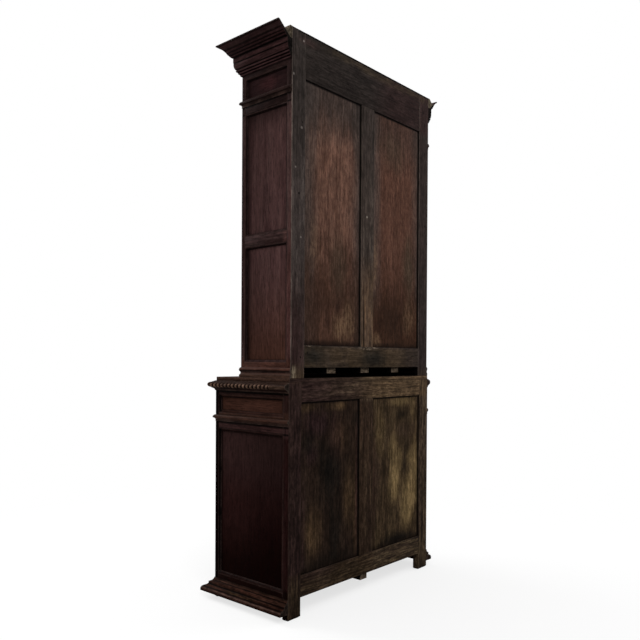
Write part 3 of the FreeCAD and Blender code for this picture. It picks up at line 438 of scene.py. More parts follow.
HIGH_GREY = (0.0195, 0.0155, 0.0136)
FAR_RAIL_RED = (0.0255, 0.0133, 0.0128)
FAR_ROSE = (0.044, 0.026, 0.0235)
FOOT_RED = (0.032, 0.0163, 0.0147)
FOOT_BROWN = (0.05, 0.0335, 0.0205)
FAR_POST_GREY = (0.027, 0.0195, 0.0175)
DAMP_GREY = (0.013, 0.0118, 0.01)
CHIP_PALE = (0.15, 0.115, 0.085)
TOP_TAN = (0.052, 0.037, 0.023)
TOP_RED = (0.05, 0.029, 0.026)
CRACK_BLACK = (0.006, 0.004, 0.004)
SPLIT_PALE = (0.24, 0.19, 0.13)
upper_post_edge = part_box("upper_rear_post_right")[0].x


def upper_back_stain_and_shade(colour, marks):
    """Redder to the far end, browner towards the foot, with pale chips, a split near post, and painted shade
    in the gap.
    """
    across, height = marks["X"], marks["Z"]
    on_rail = ramp(math_of("ABSOLUTE", across), upper_post_edge + 0.006, upper_post_edge - 0.004)
    colour = painted(colour, HIGH_GREY, ramp(height, 1.75, 2.1), 0.75)
    colour = painted(colour, FAR_RAIL_RED, ramp(across, 0.0, -0.22), ramp(height, 2.18, 2.22), 0.75)
    colour = painted(colour, FAR_ROSE, ramp(across, 0.1, -0.45), marks["Clouds"], 0.5)
    colour = painted(colour, FOOT_RED, ramp(height, 1.5, 1.15), ramp(across, 0.35, 0.45), 0.8)
    low = math_of("MAXIMUM", times(ramp(height, 1.14, 1.1), on_rail), ramp(height, 1.06, 0.985))
    colour = painted(colour, FOOT_BROWN, low, ramp(marks["Clouds"], 0.0, 0.6, 0.55, 0.95))
    colour = painted(colour, FAR_POST_GREY, ramp(across, -0.2, -0.42), ramp(height, 2.2, 2.1), 0.75)
    for spot in DAMP_ON_RAIL:
        colour = painted(colour, DAMP_GREY, patch(marks, *spot), on_rail, 0.85)
    for spot in CHIPS_ON_RAIL:
        colour = painted(colour, CHIP_PALE, patch(marks, *spot), ramp(marks["Flecks"], 0.35, 0.7))
    top_edge = times(ramp(height, 2.345, 2.38), ramp(across, 0.4, 0.25))
    colour = painted(colour, TOP_TAN, top_edge, marks["Blotches"], 0.6)
    colour = painted(colour, TOP_RED, patch(marks, *RED_UNDER_TOP), 0.5)
    sloping = math_of("ADD", height, times(across, CRACK_SLOPE))
    crack = times(band(sloping, *CRACK_LEVELS, 0.0008), ramp(across, -0.02, -0.1))
    colour = painted(colour, CRACK_BLACK, crack, 0.65)
    colour = painted(colour, SOOT_AND_SHADE, ramp(height, 2.389, 2.395), ramp(across, 0.49, 0.44))
    # Painted shade: the posts' inner faces in the gap under the upper case go black.
    colour = painted(colour, SOOT_AND_SHADE, ramp(marks["Y"], 0.2488, 0.2455), ramp(height, 1.045, 1.03), 0.95)
    splinters = ramp(marks["Flecks"], 0.2, 0.7, 0.3, 1.0)
    colour = painted(colour, SPLIT_PALE, patch(marks, *SPLIT_ON_POST), splinters)
    return nail_marks(nail_marks(colour, marks, *PALE_NAILS), marks, *DARK_NAILS)


NEAR_DARK = (0.0245, 0.0132, 0.0122)
NEAR_POST_DARK = (0.0165, 0.0085, 0.0077)
FAR_OLIVE = (0.115, 0.08, 0.045)
FAR_POST_OLIVE = (0.08, 0.056, 0.038)
MUNTIN_BROWN = (0.026, 0.0145, 0.0088)
TOP_RAIL_TAN = (0.095, 0.06, 0.033)
FOOT_RAIL_OLIVE = (0.08, 0.056, 0.031)
FOOT_RAIL_DARK = (0.021, 0.0128, 0.0066)
POST_FADE = 0.005
lower_post_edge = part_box("lower_rear_post_right")[0].x


def lower_back_stain(colour, marks):
    """Nearly black towards the near corner, dry and olive at the far one."""
    across, height = marks["X"], marks["Z"]
    colour = painted(colour, NEAR_DARK, ramp(across, 0.0, 0.42), 0.8)
    near_post = ramp(across, lower_post_edge - POST_FADE, lower_post_edge + POST_FADE)
    colour = painted(colour, NEAR_POST_DARK, near_post, band(height, 0.2, 0.84, 0.05), 0.35)
    colour = painted(colour, FAR_OLIVE, ramp(across, 0.2, -0.4), marks["Runs"], 0.85)
    far_post = ramp(across, POST_FADE - lower_post_edge, -POST_FADE - lower_post_edge)
    colour = painted(colour, FAR_POST_OLIVE, far_post, dry_wood(marks), 0.5)
    on_muntin = ramp(math_of("ABSOLUTE", across), 0.07, 0.045)
    colour = painted(colour, MUNTIN_BROWN, on_muntin, ramp(height, 0.88, 0.86), 0.6)
    colour = painted(colour, TOP_RAIL_TAN, ramp(height, 0.87, 0.89), ramp(across, 0.1, -0.15), 0.7)
    colour = painted(colour, FOOT_RAIL_OLIVE, ramp(height, 0.19, 0.1), marks["Fibre"], 0.6)
    near_rail = times(ramp(height, 0.19, 0.17), ramp(across, -0.1, 0.12))
    return painted(colour, FOOT_RAIL_DARK, near_rail, ramp(marks["Clouds"], 0.0, 1.0, 0.15, 0.6))


raw_upper_oak = timber(
    "raw grey oak of the upper back",
    ((0.027, 0.0205, 0.0185), (0.047, 0.036, 0.0325), (0.075, 0.06, 0.053), (0.04, 0.032, 0.028)),
    0.012, 0.75, fineness=34.0, contrast=0.27, stain=upper_back_stain_and_shade,
)
raw_lower_oak = timber(
    "raw brown oak of the lower back",
    ((0.02, 0.0123, 0.0092), (0.042, 0.027, 0.0182), (0.075, 0.052, 0.033), (0.038, 0.026, 0.019)),
    0.012, 0.78, fineness=34.0, contrast=0.42, stain=lower_back_stain,
)

# Levels on the outer sides where the waxed tone changes: (level, softness, tone), the last two painted shade
# towards the floor; dark lines: (level, half), painted shade with grime.
SIDE_TONES = (
    (1.06, 0.015, (0.066, 0.0278, 0.0198)),
    (1.0, 0.003, (0.048, 0.0255, 0.0175)),
    (0.935, 0.006, (0.0157, 0.0066, 0.0059)),
    (0.842, 0.006, (0.0385, 0.0175, 0.0122)),
    (0.79, 0.006, (0.034, 0.0158, 0.0152)),
    (0.742, 0.012, (0.0118, 0.0038, 0.0034)),
    (0.122, 0.01, (0.0048, 0.0014, 0.0009)),
)
SIDE_LINES = (
    (2.141, 0.009), (2.105, 0.0035), (1.009, 0.006), (0.918, 0.005), (0.785, 0.007), (0.7535, 0.004),
)
POST_SIDE_BROWN = (0.06, 0.031, 0.028)
POST_SIDE_RED = (0.07, 0.0305, 0.027)
UNDER_CORNICE = (0.0145, 0.0078, 0.0072)
TONES_COVER = 0.92


def dark_lines(colour, height, levels):
    """Painted shade with grime in lines along a moulding or a rail, each at a level and with half its width.
    """
    for level, half in levels:
        colour = painted(colour, SOOT_AND_SHADE, band(height, level - half, level + half, half * 0.45), 0.9)
    return colour


def side_stain_and_shade(colour, marks):
    """The wax, blacker under the cornice and reddest over the waist; painted shade makes it nearly black
    towards the floor.
    """
    height = marks["Z"]
    rear_post = times(ramp(marks["Y"], 0.195, 0.215), ramp(height, 2.09, 2.02))
    colour = painted(colour, POST_SIDE_BROWN, rear_post, 0.7)
    colour = painted(colour, POST_SIDE_RED, rear_post, ramp(height, 1.7, 1.4), 0.8)
    colour = painted(colour, UNDER_CORNICE, ramp(height, 2.06, 2.13), TONES_COVER)
    for level, soft, tone in SIDE_TONES:
        colour = painted(colour, tone, ramp(height, level + soft, level - soft), TONES_COVER)
    return dark_lines(colour, height, SIDE_LINES)


WAXED_TONES = (
    (0.022, 0.0112, 0.0104), (0.044, 0.0238, 0.0222), (0.064, 0.038, 0.034), (0.062, 0.036, 0.0295),
)
side_oak = timber(
    "dark waxed oak of the sides", WAXED_TONES, 0.005, 0.5,
    contrast=0.24, relief=0.3, dust=0.12, stain=side_stain_and_shade,
)
worn_oak = timber(
    "worn oak arris",
    ((0.05, 0.037, 0.031), (0.085, 0.066, 0.056), (0.13, 0.105, 0.09), (0.16, 0.13, 0.11)),
    0.03, 0.7,
)
SQUARE_TO_BACK = 0.93
MOSTLY = 0.5
ON_ARRIS = 0.35


def back_or_side(middle, direction):
    """Raw on the back and inside, worn pale on the outer arris, waxed elsewhere."""
    inward = direction.x * middle.x < 0 and abs(direction.x) > MOSTLY
    if direction.y > SQUARE_TO_BACK or inward:
        return 0
    return 2 if direction.y > ON_ARRIS and abs(direction.x) > ON_ARRIS else 1


for side in SIDES:
    lower_woods = [raw_lower_oak, side_oak, raw_lower_oak]
    dress(f"lower_rear_post_{side}", OUTER_ARRIS, lower_woods, back_or_side, round_foot)
    dress(f"upper_rear_post_{side}", OUTER_ARRIS, [raw_upper_oak, side_oak, worn_oak], back_or_side)

# Back frames: top and bottom rails tongued between the posts, and one muntin between the rails, in each case.
# Raw oak, straight from the saw and grey with age; the upper muntin has dried out pale towards its foot.

INNER_ARRIS = 0.0015
MUNTIN_GREY = (0.0255, 0.0195, 0.0172)
MUNTIN_DRY = (0.125, 0.074, 0.044)
MUNTIN_CRACK = (0.0215, 0.0295)
MUNTIN_BLACK = (0.008, 0.006, 0.005)
MUNTIN_NAIL = ((0.14, 0.12, 0.1), (0.005, 1.712, 0.005))


def muntin_stain(colour, marks):
    """Dried out pale below, and cracked along the grain."""
    height = marks["Z"]
    colour = painted(colour, MUNTIN_GREY, ramp(height, 1.75, 2.1), 0.75)
    low = ramp(height, 1.56, 1.36)
    colour = painted(colour, MUNTIN_DRY, low, ramp(marks["Runs"], 0.0, 0.6, 0.42, 1.0))
    colour = painted(colour, MUNTIN_BLACK, band(marks["X"], *MUNTIN_CRACK, 0.0025), low, 0.85)
    return nail_marks(colour, marks, *MUNTIN_NAIL)


dry_muntin_oak = timber(
    "dried oak of the upper muntin",
    ((0.031, 0.0228, 0.0192), (0.051, 0.0378, 0.0318), (0.08, 0.062, 0.05), (0.08, 0.063, 0.051)),
    0.012, 0.75, fineness=34.0, contrast=0.28, stain=muntin_stain,
)
dress("upper_back_rails", INNER_ARRIS, [raw_upper_oak])
dress("upper_back_muntin", INNER_ARRIS, [dry_muntin_oak])
dress("lower_back_rails", INNER_ARRIS, [raw_lower_oak])
dress("lower_back_muntin", INNER_ARRIS, [raw_lower_oak])

# Back panels: two thin boards in each case, floating in the grooves of the back frame.
# Unfinished; the upper pair is warm brown with dusty grey edges, the lower pair stained by damp.

UPPER_RAIL_EDGES = (2.211, 1.119)
LOWER_RAIL_EDGES = (0.884, 0.172)
upper_muntin_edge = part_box("upper_back_muntin")[1].x
lower_muntin_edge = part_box("lower_back_muntin")[1].x

# Stains on the boards: a tone, then spots (across, up, wide, tall, strength) in metres.
UPPER_OLIVE = (
    (0.042, 0.032, 0.021),
    (-0.34, 1.52, 0.05, 0.15, 0.7), (0.2, 1.48, 0.06, 0.16, 0.5), (-0.2, 2.05, 0.1, 0.1, 0.4),
)
UPPER_DARK = (
    (0.016, 0.0088, 0.006),
    (-0.2, 1.25, 0.13, 0.12, 0.5), (0.26, 1.13, 0.16, 0.016, 0.6), (0.28, 1.3, 0.12, 0.05, 0.25),
)
UPPER_DRY = (
    (0.135, 0.08, 0.046),
    (0.165, 1.205, 0.075, 0.07, 1.0), (0.125, 1.25, 0.04, 0.08, 0.8), (-0.34, 1.27, 0.05, 0.09, 0.55),
    (-0.066, 1.53, 0.02, 0.12, 0.8), (-0.08, 1.145, 0.035, 0.04, 0.8), (0.36, 1.55, 0.03, 0.1, 0.4),
)
LOWER_HAZE = (
    (0.033, 0.0195, 0.015),
    (-0.09, 0.57, 0.04, 0.28, 0.6), (-0.31, 0.72, 0.08, 0.05, 0.5), (0.41, 0.45, 0.03, 0.2, 0.4),
)
LOWER_PURPLE = (
    (0.023, 0.0115, 0.0122),
    (0.33, 0.79, 0.1, 0.065, 0.8), (0.37, 0.66, 0.05, 0.05, 0.6), (0.42, 0.3, 0.02, 0.2, 0.5),
)
LOWER_RED = (
    (0.036, 0.0175, 0.0145),
    (0.066, 0.5, 0.012, 0.3, 0.7), (0.2, 0.73, 0.06, 0.09, 0.5), (-0.068, 0.5, 0.012, 0.25, 0.5),
)
NEAR_DRY = (
    (0.087, 0.0525, 0.0262),
    (0.18, 0.86, 0.04, 0.022, 1.0), (0.18, 0.72, 0.05, 0.07, 0.5), (0.36, 0.33, 0.06, 0.11, 0.6),
    (0.12, 0.45, 0.045, 0.13, 0.55), (0.07, 0.4, 0.02, 0.25, 0.4), (0.4, 0.86, 0.06, 0.02, 0.35),
    (0.24, 0.86, 0.05, 0.02, 0.3),
)
FAR_DRY = (
    (0.24, 0.162, 0.074),
    (-0.235, 0.48, 0.05, 0.11, 0.95), (-0.22, 0.63, 0.04, 0.08, 0.5), (-0.37, 0.41, 0.075, 0.1, 1.0),
    (-0.34, 0.32, 0.06, 0.09, 0.85), (-0.4, 0.55, 0.035, 0.11, 0.7), (-0.27, 0.58, 0.03, 0.06, 0.6),
    (-0.28, 0.86, 0.09, 0.026, 0.55), (-0.11, 0.72, 0.04, 0.12, 0.4), (-0.36, 0.58, 0.03, 0.04, 0.6),
    (-0.385, 0.83, 0.025, 0.06, 0.35),
)
# Black: damp on the boards, and painted shade in the streak by the muntin and in the bands along the feet.
LOWER_DAMP_AND_SHADE = (
    (0.006, 0.0049, 0.004),
    (0.245, 0.57, 0.085, 0.15, 0.9), (0.39, 0.71, 0.05, 0.06, 0.75), (0.21, 0.3, 0.05, 0.16, 0.8),
    (0.07, 0.8, 0.022, 0.04, 0.8), (0.25, 0.19, 0.2, 0.045, 0.6), (-0.285, 0.795, 0.055, 0.025, 0.7),
    (-0.24, 0.195, 0.13, 0.04, 0.8), (0.3, 0.66, 0.05, 0.12, 0.5), (-0.34, 0.63, 0.025, 0.05, 0.4),
    (-0.31, 0.54, 0.02, 0.05, 0.5), (0.056, 0.62, 0.011, 0.32, 0.8), (-0.28, 0.188, 0.16, 0.02, 0.85),
)
# Painted shade with grime for the panels' feet and for their far and top edges.
FOOT_SHADE_AND_GRIME = (0.009, 0.0055, 0.004)
EDGE_SHADE_AND_GRIME = (0.004, 0.003, 0.0028)
FAR_BOARD = (0.074, 0.0335, 0.0225)
BOARD_DUST = (0.053, 0.0415, 0.0365)
LOW_BOARD = (0.036, 0.0165, 0.0098)
NEAR_LOWER_BOARD = (0.0175, 0.0102, 0.0074)


def stained(colour, marks, stain, *strengths):
    tone, *spots = stain
    for *place, strength in spots:
        colour = painted(colour, tone, patch(marks, *place), strength, *strengths)
    return colour


def dark_edges(colour, marks, muntin, post, rail, foot):
    """Painted shade with lodged grime, black in the panels' far and top edges, and softer along their feet.
    """
    low = math_of("ADD", marks["Z"], times(marks["Ragged"], 0.03))
    colour = painted(colour, FOOT_SHADE_AND_GRIME, ramp(low, foot + 0.045, foot + 0.018), 0.75)
    dirt_and_shade = ramp(marks["Z"], rail - 0.011, rail - 0.004)
    for edge in (muntin, -post):
        dirt_and_shade = math_of("MAXIMUM", dirt_and_shade, band(marks["X"], edge - 0.015, edge + 0.0105, 0.004))
    return painted(colour, EDGE_SHADE_AND_GRIME, dirt_and_shade, 0.9)


def upper_panel_stain_and_shade(colour, marks):
    """Grey dust along the edges and the top, darker below, with dry patches near the foot, and painted shade
    in the edges.
    """
    across, height = marks["X"], marks["Z"]
    side = math_of("ABSOLUTE", across)
    far = ramp(across, 0.02, -0.02)
    colour = painted(colour, FAR_BOARD, ramp(across, 0.0, -0.1), 0.9)
    ragged = times(cloud(scaled(marks["Place"], 1, 1, 0.12), 34.0, 5.0, 0.7), 0.07)
    inward = math_of("SUBTRACT", side, ragged)
    by_muntin = ramp(inward, upper_muntin_edge + 0.055, upper_muntin_edge - 0.03)
    outward = math_of("SUBTRACT", math_of("ADD", side, ragged), times(far, 0.03))
    by_post = ramp(outward, upper_post_edge - 0.085, upper_post_edge + 0.02)
    upward = math_of("ADD", height, times(ragged, 2.5))
    under_rail = ramp(upward, UPPER_RAIL_EDGES[0] - 0.2, UPPER_RAIL_EDGES[0] + 0.04)
    under_rail = times(under_rail, ramp(across, 0.05, -0.05, 1.0, 0.4))
    for dusty in (by_muntin, by_post, under_rail):
        colour = painted(colour, BOARD_DUST, dusty, 0.8)
    colour = shaded(colour, ramp(height, 1.98, 2.14, 1.0, 0.8))
    downward = math_of("ADD", height, times(ragged, 6.0))
    downward = math_of("ADD", downward, times(far, 0.1))
    colour = painted(colour, LOW_BOARD, ramp(downward, 1.87, 1.57), ramp(across, 0.1, -0.1, 0.7, 1.0))
    colour = stained(colour, marks, UPPER_OLIVE)
    colour = stained(colour, marks, UPPER_DARK)
    colour = stained(colour, marks, UPPER_DRY, dry_wood(marks))
    return dark_edges(colour, marks, upper_muntin_edge, upper_post_edge, *UPPER_RAIL_EDGES)


def lower_panel_stain_and_shade(colour, marks):
    """Black clouds of damp, most on the near board, and dry golden streaks, most on the far one; painted
    shade by the muntin, along the feet and in the edges.
    """
    colour = painted(colour, NEAR_LOWER_BOARD, ramp(marks["X"], -0.02, 0.05), 0.9)
    for stain in (LOWER_HAZE, LOWER_PURPLE):
        colour = stained(colour, marks, stain)
    streaks = ramp(marks["Ragged"], 0.35, 0.6, 0.4, 1.0)
    for stain in (NEAR_DRY, FAR_DRY):
        colour = stained(colour, marks, stain, streaks)
    for stain in (LOWER_DAMP_AND_SHADE, LOWER_RED):
        colour = stained(colour, marks, stain)
    return dark_edges(colour, marks, lower_muntin_edge, lower_post_edge, *LOWER_RAIL_EDGES)


upper_panel_oak = timber(
    "warm brown board",
    ((0.1, 0.049, 0.034), (0.138, 0.07, 0.049), (0.17, 0.096, 0.07), (0.15, 0.1, 0.075)),
    0.015, 0.72, fineness=48.0, contrast=0.27, stain=upper_panel_stain_and_shade,
)
lower_panel_oak = timber(
    "damp stained board",
    ((0.034, 0.0212, 0.0122), (0.056, 0.0362, 0.02), (0.085, 0.058, 0.032), (0.12, 0.09, 0.055)),
    0.012, 0.78, fineness=40.0, contrast=0.36, stain=lower_panel_stain_and_shade,
)
dress("upper_back_panels", 0.0, [upper_panel_oak])
dress("lower_back_panels", 0.0, [lower_panel_oak])

# Side frames and front frame: posts with rails tongued or tenoned between them, in dark stained oak.
# Waxed and rubbed for generations, so the arrises have gone pale and round; black where hands reached,
# deepened by painted shade, on the lower front posts' outer sides.

FRONT_TONES = (
    (0.024, 0.012, 0.0106), (0.048, 0.0252, 0.0224), (0.068, 0.0395, 0.0345), (0.072, 0.0425, 0.0355),
)
LOWER_FRONT_RED = (0.038, 0.0175, 0.0145)
CHEEK = 0.003
lower_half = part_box("lower_front_posts")[1].x
upper_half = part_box("upper_front_posts")[1].x


def front_stain(colour, marks):
    """The wax of the front, redder below the waist."""
    return painted(colour, LOWER_FRONT_RED, ramp(marks["Z"], 1.1, 0.9), 0.6)


waxed_oak = timber(
    "dark waxed oak of the front", FRONT_TONES, 0.02, 0.45,
    contrast=0.26, relief=0.3, dust=0.25, stain=front_stain,
)
# Black on the lower front posts' outer sides: grime from hands and painted shade.
sooted_and_shaded_oak = timber(
    "oak black with handling",
    ((0.0016, 0.0006, 0.0005), (0.0026, 0.001, 0.0009), (0.004, 0.0018, 0.0016), (0.008, 0.004, 0.0035)),
    0.003, 0.5, contrast=0.25, relief=0.3,
)


def cheek_at(half):
    """Gives the outer side of a post, half the case's width from its middle, the second material."""
    return lambda middle, direction: abs(direction.x) > MOSTLY and abs(middle.x) > half - CHEEK


dress("lower_front_posts", INNER_ARRIS, [waxed_oak, sooted_and_shaded_oak], cheek_at(lower_half), round_foot)
dress("upper_front_posts", INNER_ARRIS, [waxed_oak, side_oak], cheek_at(upper_half))
for node in ("lower_front_rails", "upper_front_rails", "drawer_divider"):
    dress(node, INNER_ARRIS, [waxed_oak])
for case in ("lower", "upper"):
    for side in SIDES:
        dress(f"{case}_side_rails_{side}", INNER_ARRIS, [side_oak])

# Side panels: thin boards floating in the side frames, each with a mitred quarter bead round it.
# Stained like the frame; the tall lower ones have gone nearly black towards the floor and by the front.

PANEL_TONES = ((0.047, 0.0225, 0.0215), (0.062, 0.031, 0.029), (0.076, 0.042, 0.038), (0.08, 0.05, 0.042))
# Painted shade on the tall lower side boards, darker towards the floor: (start, end, tone).
TALL_PANEL_SHADES = (
    (0.8, 0.77, (0.0225, 0.0108, 0.01)),
    (0.66, 0.42, (0.0145, 0.0053, 0.0048)),
    (0.4, 0.15, (0.0042, 0.0012, 0.0009)),
)
WARM_FOOT = (0.043, 0.0176, 0.011)
DARK_FRIEZE = (0.0205, 0.0096, 0.0098)
RED_ON_FRIEZE = (0.1, 2.21, 0.06, 0.03)
FRIEZE_RED = (0.047, 0.017, 0.0175)
WARM_FRIEZE = (0.05, 0.0205, 0.0132)
# Painted shade at the rear foot of the tall boards.
REAR_FOOT_SHADE = (0.0032, 0.0005, 0.0004)


def upper_side_stain_light_and_shade(colour, marks):
    """Lighter to the rear as painted light, warmer towards the waist, darker under the cornice partly as
    painted shade, and painted shade by the front bead.
    """
    along, height = marks["Y"], marks["Z"]
    colour = painted(colour, WARM_FOOT, ramp(height, 1.5, 1.02), 0.87)
    # Painted light and shade: lighter to the rear, darker under the rail below the frieze.
    light = times(ramp(along, 0.0, 0.2, 0.86, 1.2), ramp(height, 2.0, 2.095, 1.0, 0.5))
    colour = shaded(colour, light)
    colour = painted(colour, DARK_FRIEZE, ramp(height, 2.11, 2.16), TONES_COVER)
    colour = painted(colour, FRIEZE_RED, patch(marks, *RED_ON_FRIEZE, axis=1), 0.8)
    # Painted shade by the front bead.
    return painted(colour, SOOT_AND_SHADE, ramp(along, 0.012, -0.018), ramp(height, 1.5, 1.7, 0.75, 0.4))


def lower_side_stain_and_shade(colour, marks):
    """The frieze warm; painted shade makes the tall board darker downwards and to the rear, and black by its
    front and top.
    """
    along, height = marks["Y"], marks["Z"]
    colour = painted(colour, WARM_FRIEZE, 0.9)
    colour = shaded(colour, ramp(along, -0.12, 0.1, 0.74, 1.22))
    for start, end, tone in TALL_PANEL_SHADES:
        colour = painted(colour, tone, ramp(height, start, end))
    colour = shaded(colour, ramp(along, -0.15, 0.2, 1.26, 0.76))
    colour = painted(colour, REAR_FOOT_SHADE, ramp(along, -0.08, 0.15), ramp(height, 0.48, 0.3), 0.6)
    colour = painted(colour, SOOT_AND_SHADE, ramp(height, 0.743, 0.754), ramp(height, 0.8, 0.78), 0.7)
    return painted(colour, SOOT_AND_SHADE, ramp(along, -0.16, -0.174), 0.9)


for case, stain in (("lower", lower_side_stain_and_shade), ("upper", upper_side_stain_light_and_shade)):
    board = timber(
        f"dark waxed board of the {case} sides", PANEL_TONES,
        0.003, 0.5, fineness=30.0, contrast=0.14, relief=0.25, stain=stain,
    )
    for side in SIDES:
        dress(f"{case}_side_panels_{side}", 0.0, [board])

FRIEZE_BEAD = (0.03, 0.0125, 0.009)
TALL_BEAD = (0.0118, 0.0042, 0.0036)
# Painted shade on beads facing down or to the rear, and a painted highlight on the sill bead.
SHADED_BEAD = (0.0012, 0.0006, 0.0005)
SILL_HIGHLIGHT = (0.014, 0.0098, 0.009)


def bead_stain_shade_and_highlight(colour, marks):
    """Painted shade, black where a bead faces down or to the rear and by the front; a painted highlight along
    the sill of the tall lower panels.
    """
    along, height = marks["Y"], marks["Z"]
    facing = put(colour.id_data, "ShaderNodeNewGeometry").outputs["Normal"]
    downward = ramp(axis_of(facing, "Z"), 0.0, -0.3)
    in_shade = math_of("MAXIMUM", downward, ramp(axis_of(facing, "Y"), 0.0, 0.3))
    colour = painted(colour, FRIEZE_BEAD, ramp(height, 1.0, 0.95), TONES_COVER)
    colour = painted(colour, TALL_BEAD, ramp(height, 0.81, 0.78), TONES_COVER)
    colour = painted(colour, SHADED_BEAD, in_shade, ramp(height, 0.95, 1.0, 0.62, 0.82))
    colour = painted(colour, SOOT_AND_SHADE, ramp(along, -0.16, -0.17), ramp(height, 0.96, 0.94), 0.97)
    sill = band(height, 0.1165, 0.1215, 0.001)
    return painted(colour, SILL_HIGHLIGHT, sill, ramp(marks["Blotches"], 0.0, 0.6, 0.5, 1.0))


bead_oak = timber(
    "dark bead oak",
    ((0.018, 0.009, 0.0084), (0.032, 0.0165, 0.0155), (0.045, 0.026, 0.0235), (0.04, 0.024, 0.021)),
    0.004, 0.5, contrast=0.25, relief=0.2, stain=bead_stain_shade_and_highlight,
)
dress("side_panel_beads", 0.0, [bead_oak])

# Top board of the lower case: one oak board that the upper case stands on.
# Its edge shows as a narrow plain band above the waist moulding, its top in front as a dusty ledge.

SHADE_FADE = 0.02
upper_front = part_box("upper_front_posts")[0].y


def deck_stain_and_shade(colour, marks):
    """Painted shade with grime, black under the upper case, where no cloth ever reached."""
    under_case = times(
        ramp(marks["Y"], upper_front, upper_front + SHADE_FADE),
        ramp(math_of("ABSOLUTE", marks["X"]), upper_half, upper_half - SHADE_FADE),
    )
    return painted(side_stain_and_shade(colour, marks), SOOT_AND_SHADE, under_case, 0.9)


def deck_or_edge(middle, direction):
    return 1 if direction.y > MOSTLY else 0


deck_oak = timber(
    "deck of the lower case", WAXED_TONES, 0.005, 0.5, contrast=0.24, relief=0.3, dust=0.12, stain=deck_stain_and_shade,
)
dress("lower_top_board", INNER_ARRIS, [deck_oak, raw_lower_oak], deck_or_edge)

# Mouldings: lengths of planed oak, mitred at the front corners, cut square at the back, glued and nailed on.
# Their cut rear ends were never stained and show end grain, dusty or sooty and darkened as painted shade;
# painted shade with grime lies in every quirk.

MOULDING_ARRIS = 0.0009
SQUARE_END = 0.9
END_DEPTH = 0.001
BACK_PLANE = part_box("lower_rear_post_right")[1].y
CORNICE_LINES = (
    (2.401, 0.0055), (2.382, 0.003), (2.3705, 0.0018), (2.361, 0.0022), (2.351, 0.0042),
    (2.328, 0.0032), (2.3015, 0.003), (2.2915, 0.0016), (2.2825, 0.0016), (2.274, 0.0016),
)
BASE_LINES = ((0.0865, 0.0035), (0.076, 0.0014), (0.0605, 0.0028), (0.0505, 0.0024), (0.032, 0.0022))
WORN_OLIVE = (0.075, 0.05, 0.022)
# A painted highlight on the base's worn lower round.
ROUND_HIGHLIGHT_AND_WEAR = (0.085, 0.052, 0.042)


def cornice_soot_and_shade(colour, marks):
    """Painted shade with soot on the lip and in every quirk of the cornice."""
    return dark_lines(colour, marks["Z"], CORNICE_LINES)


def base_stain_shade_and_highlight(colour, marks):
    """Painted shade with grime in the base's quirks, its rubbed lower round with a painted highlight, the wax
    worn to olive along its middle.
    """
    height = marks["Z"]
    worn = times(band(marks["Y"], -0.08, 0.08, 0.04), ramp(marks["Clouds"], 0.2, 0.7))
    colour = painted(colour, WORN_OLIVE, band(height, 0.052, 0.058, 0.003), worn, 0.5)
    colour = painted(colour, ROUND_HIGHLIGHT_AND_WEAR, band(height, 0.0415, 0.0465, 0.002), 0.7)
    return dark_lines(colour, height, BASE_LINES)


def run_or_end(middle, direction):
    return 1 if direction.y > SQUARE_END and middle.y > BACK_PLANE - END_DEPTH else 0


# The rear ends: dusty end grain, darkened as painted shade.
end_grain_oak = timber(
    "dusty end grain in painted shade",
    ((0.01, 0.0064, 0.0052), (0.024, 0.016, 0.013), (0.045, 0.032, 0.026), (0.06, 0.045, 0.036)),
    0.012, 0.85, fineness=70.0,
)
base_oak = timber(
    "rubbed base oak",
    ((0.018, 0.0068, 0.0044), (0.031, 0.0125, 0.0081), (0.046, 0.0225, 0.016), (0.032, 0.0165, 0.0115)),
    0.005, 0.5, contrast=0.45, relief=0.3, stain=base_stain_shade_and_highlight,
)
cornice_oak = timber(
    "sooty cornice oak",
    ((0.027, 0.0118, 0.0112), (0.045, 0.021, 0.021), (0.061, 0.032, 0.032), (0.06, 0.035, 0.033)),
    0.004, 0.5, contrast=0.26, relief=0.3, stain=cornice_soot_and_shade,
)
# The cornice's rear ends: sooty end grain, near black as painted shade.
sooty_shaded_end_oak = timber(
    "sooty end grain in painted shade",
    ((0.003, 0.0024, 0.0022), (0.007, 0.0056, 0.005), (0.013, 0.0105, 0.0092), (0.02, 0.016, 0.0135)),
    0.008, 0.85, fineness=70.0,
)
dress("base_mouldings", MOULDING_ARRIS, [base_oak, end_grain_oak], run_or_end)
for node in ("lower_astragals", "plinth_mouldings", "upper_astragals"):
    dress(node, MOULDING_ARRIS, [side_oak, end_grain_oak], run_or_end)
for node in ("bed_mouldings", "crown_mouldings"):
    dress(node, MOULDING_ARRIS, [cornice_oak, sooty_shaded_end_oak], run_or_end)

# Waist moulding: the nosing round the top of the lower case, carved with a row of leaning leaves.
# The carving was cut with gouges after the lengths were mitred and stops short of the plain rear ends.

LEAF_PITCH = 0.0235
LEAF_DEPTH = 0.006
LEAF_LEAN = -0.8
EYE_PLACE = 0.22
EYE_REACH = 0.17
PLAIN_END = 0.09
PLAIN_TONE = 0.17
RUN_OUT = 0.01
STEPS_IN_LEAF = 10
NOSE_OUT = 0.027
# A painted highlight on the worn leaf tops; painted shade in the cuts, under the nose and under the waist's
# foot.
LEAF_TOP = (0.17, 0.1, 0.068)
CUT_BLACK = (0.0035, 0.0018, 0.0016)
UNDERSIDE = (0.0148, 0.005, 0.0047)
waist_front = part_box("lower_front_posts")[0].y
waist_low, waist_high = (corner.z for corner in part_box("waist_mouldings"))


def on_section(out, up):
    return Vector((out, waist_low + up))


def curve(start, middle, end, count):
    """Points on a bend from start to end that leans towards middle, without the last one."""
    points = []
    for index in range(count):
        t = index / count
        points.append(start * (1 - t) ** 2 + middle * (2 * t * (1 - t)) + end * t**2)
    return points


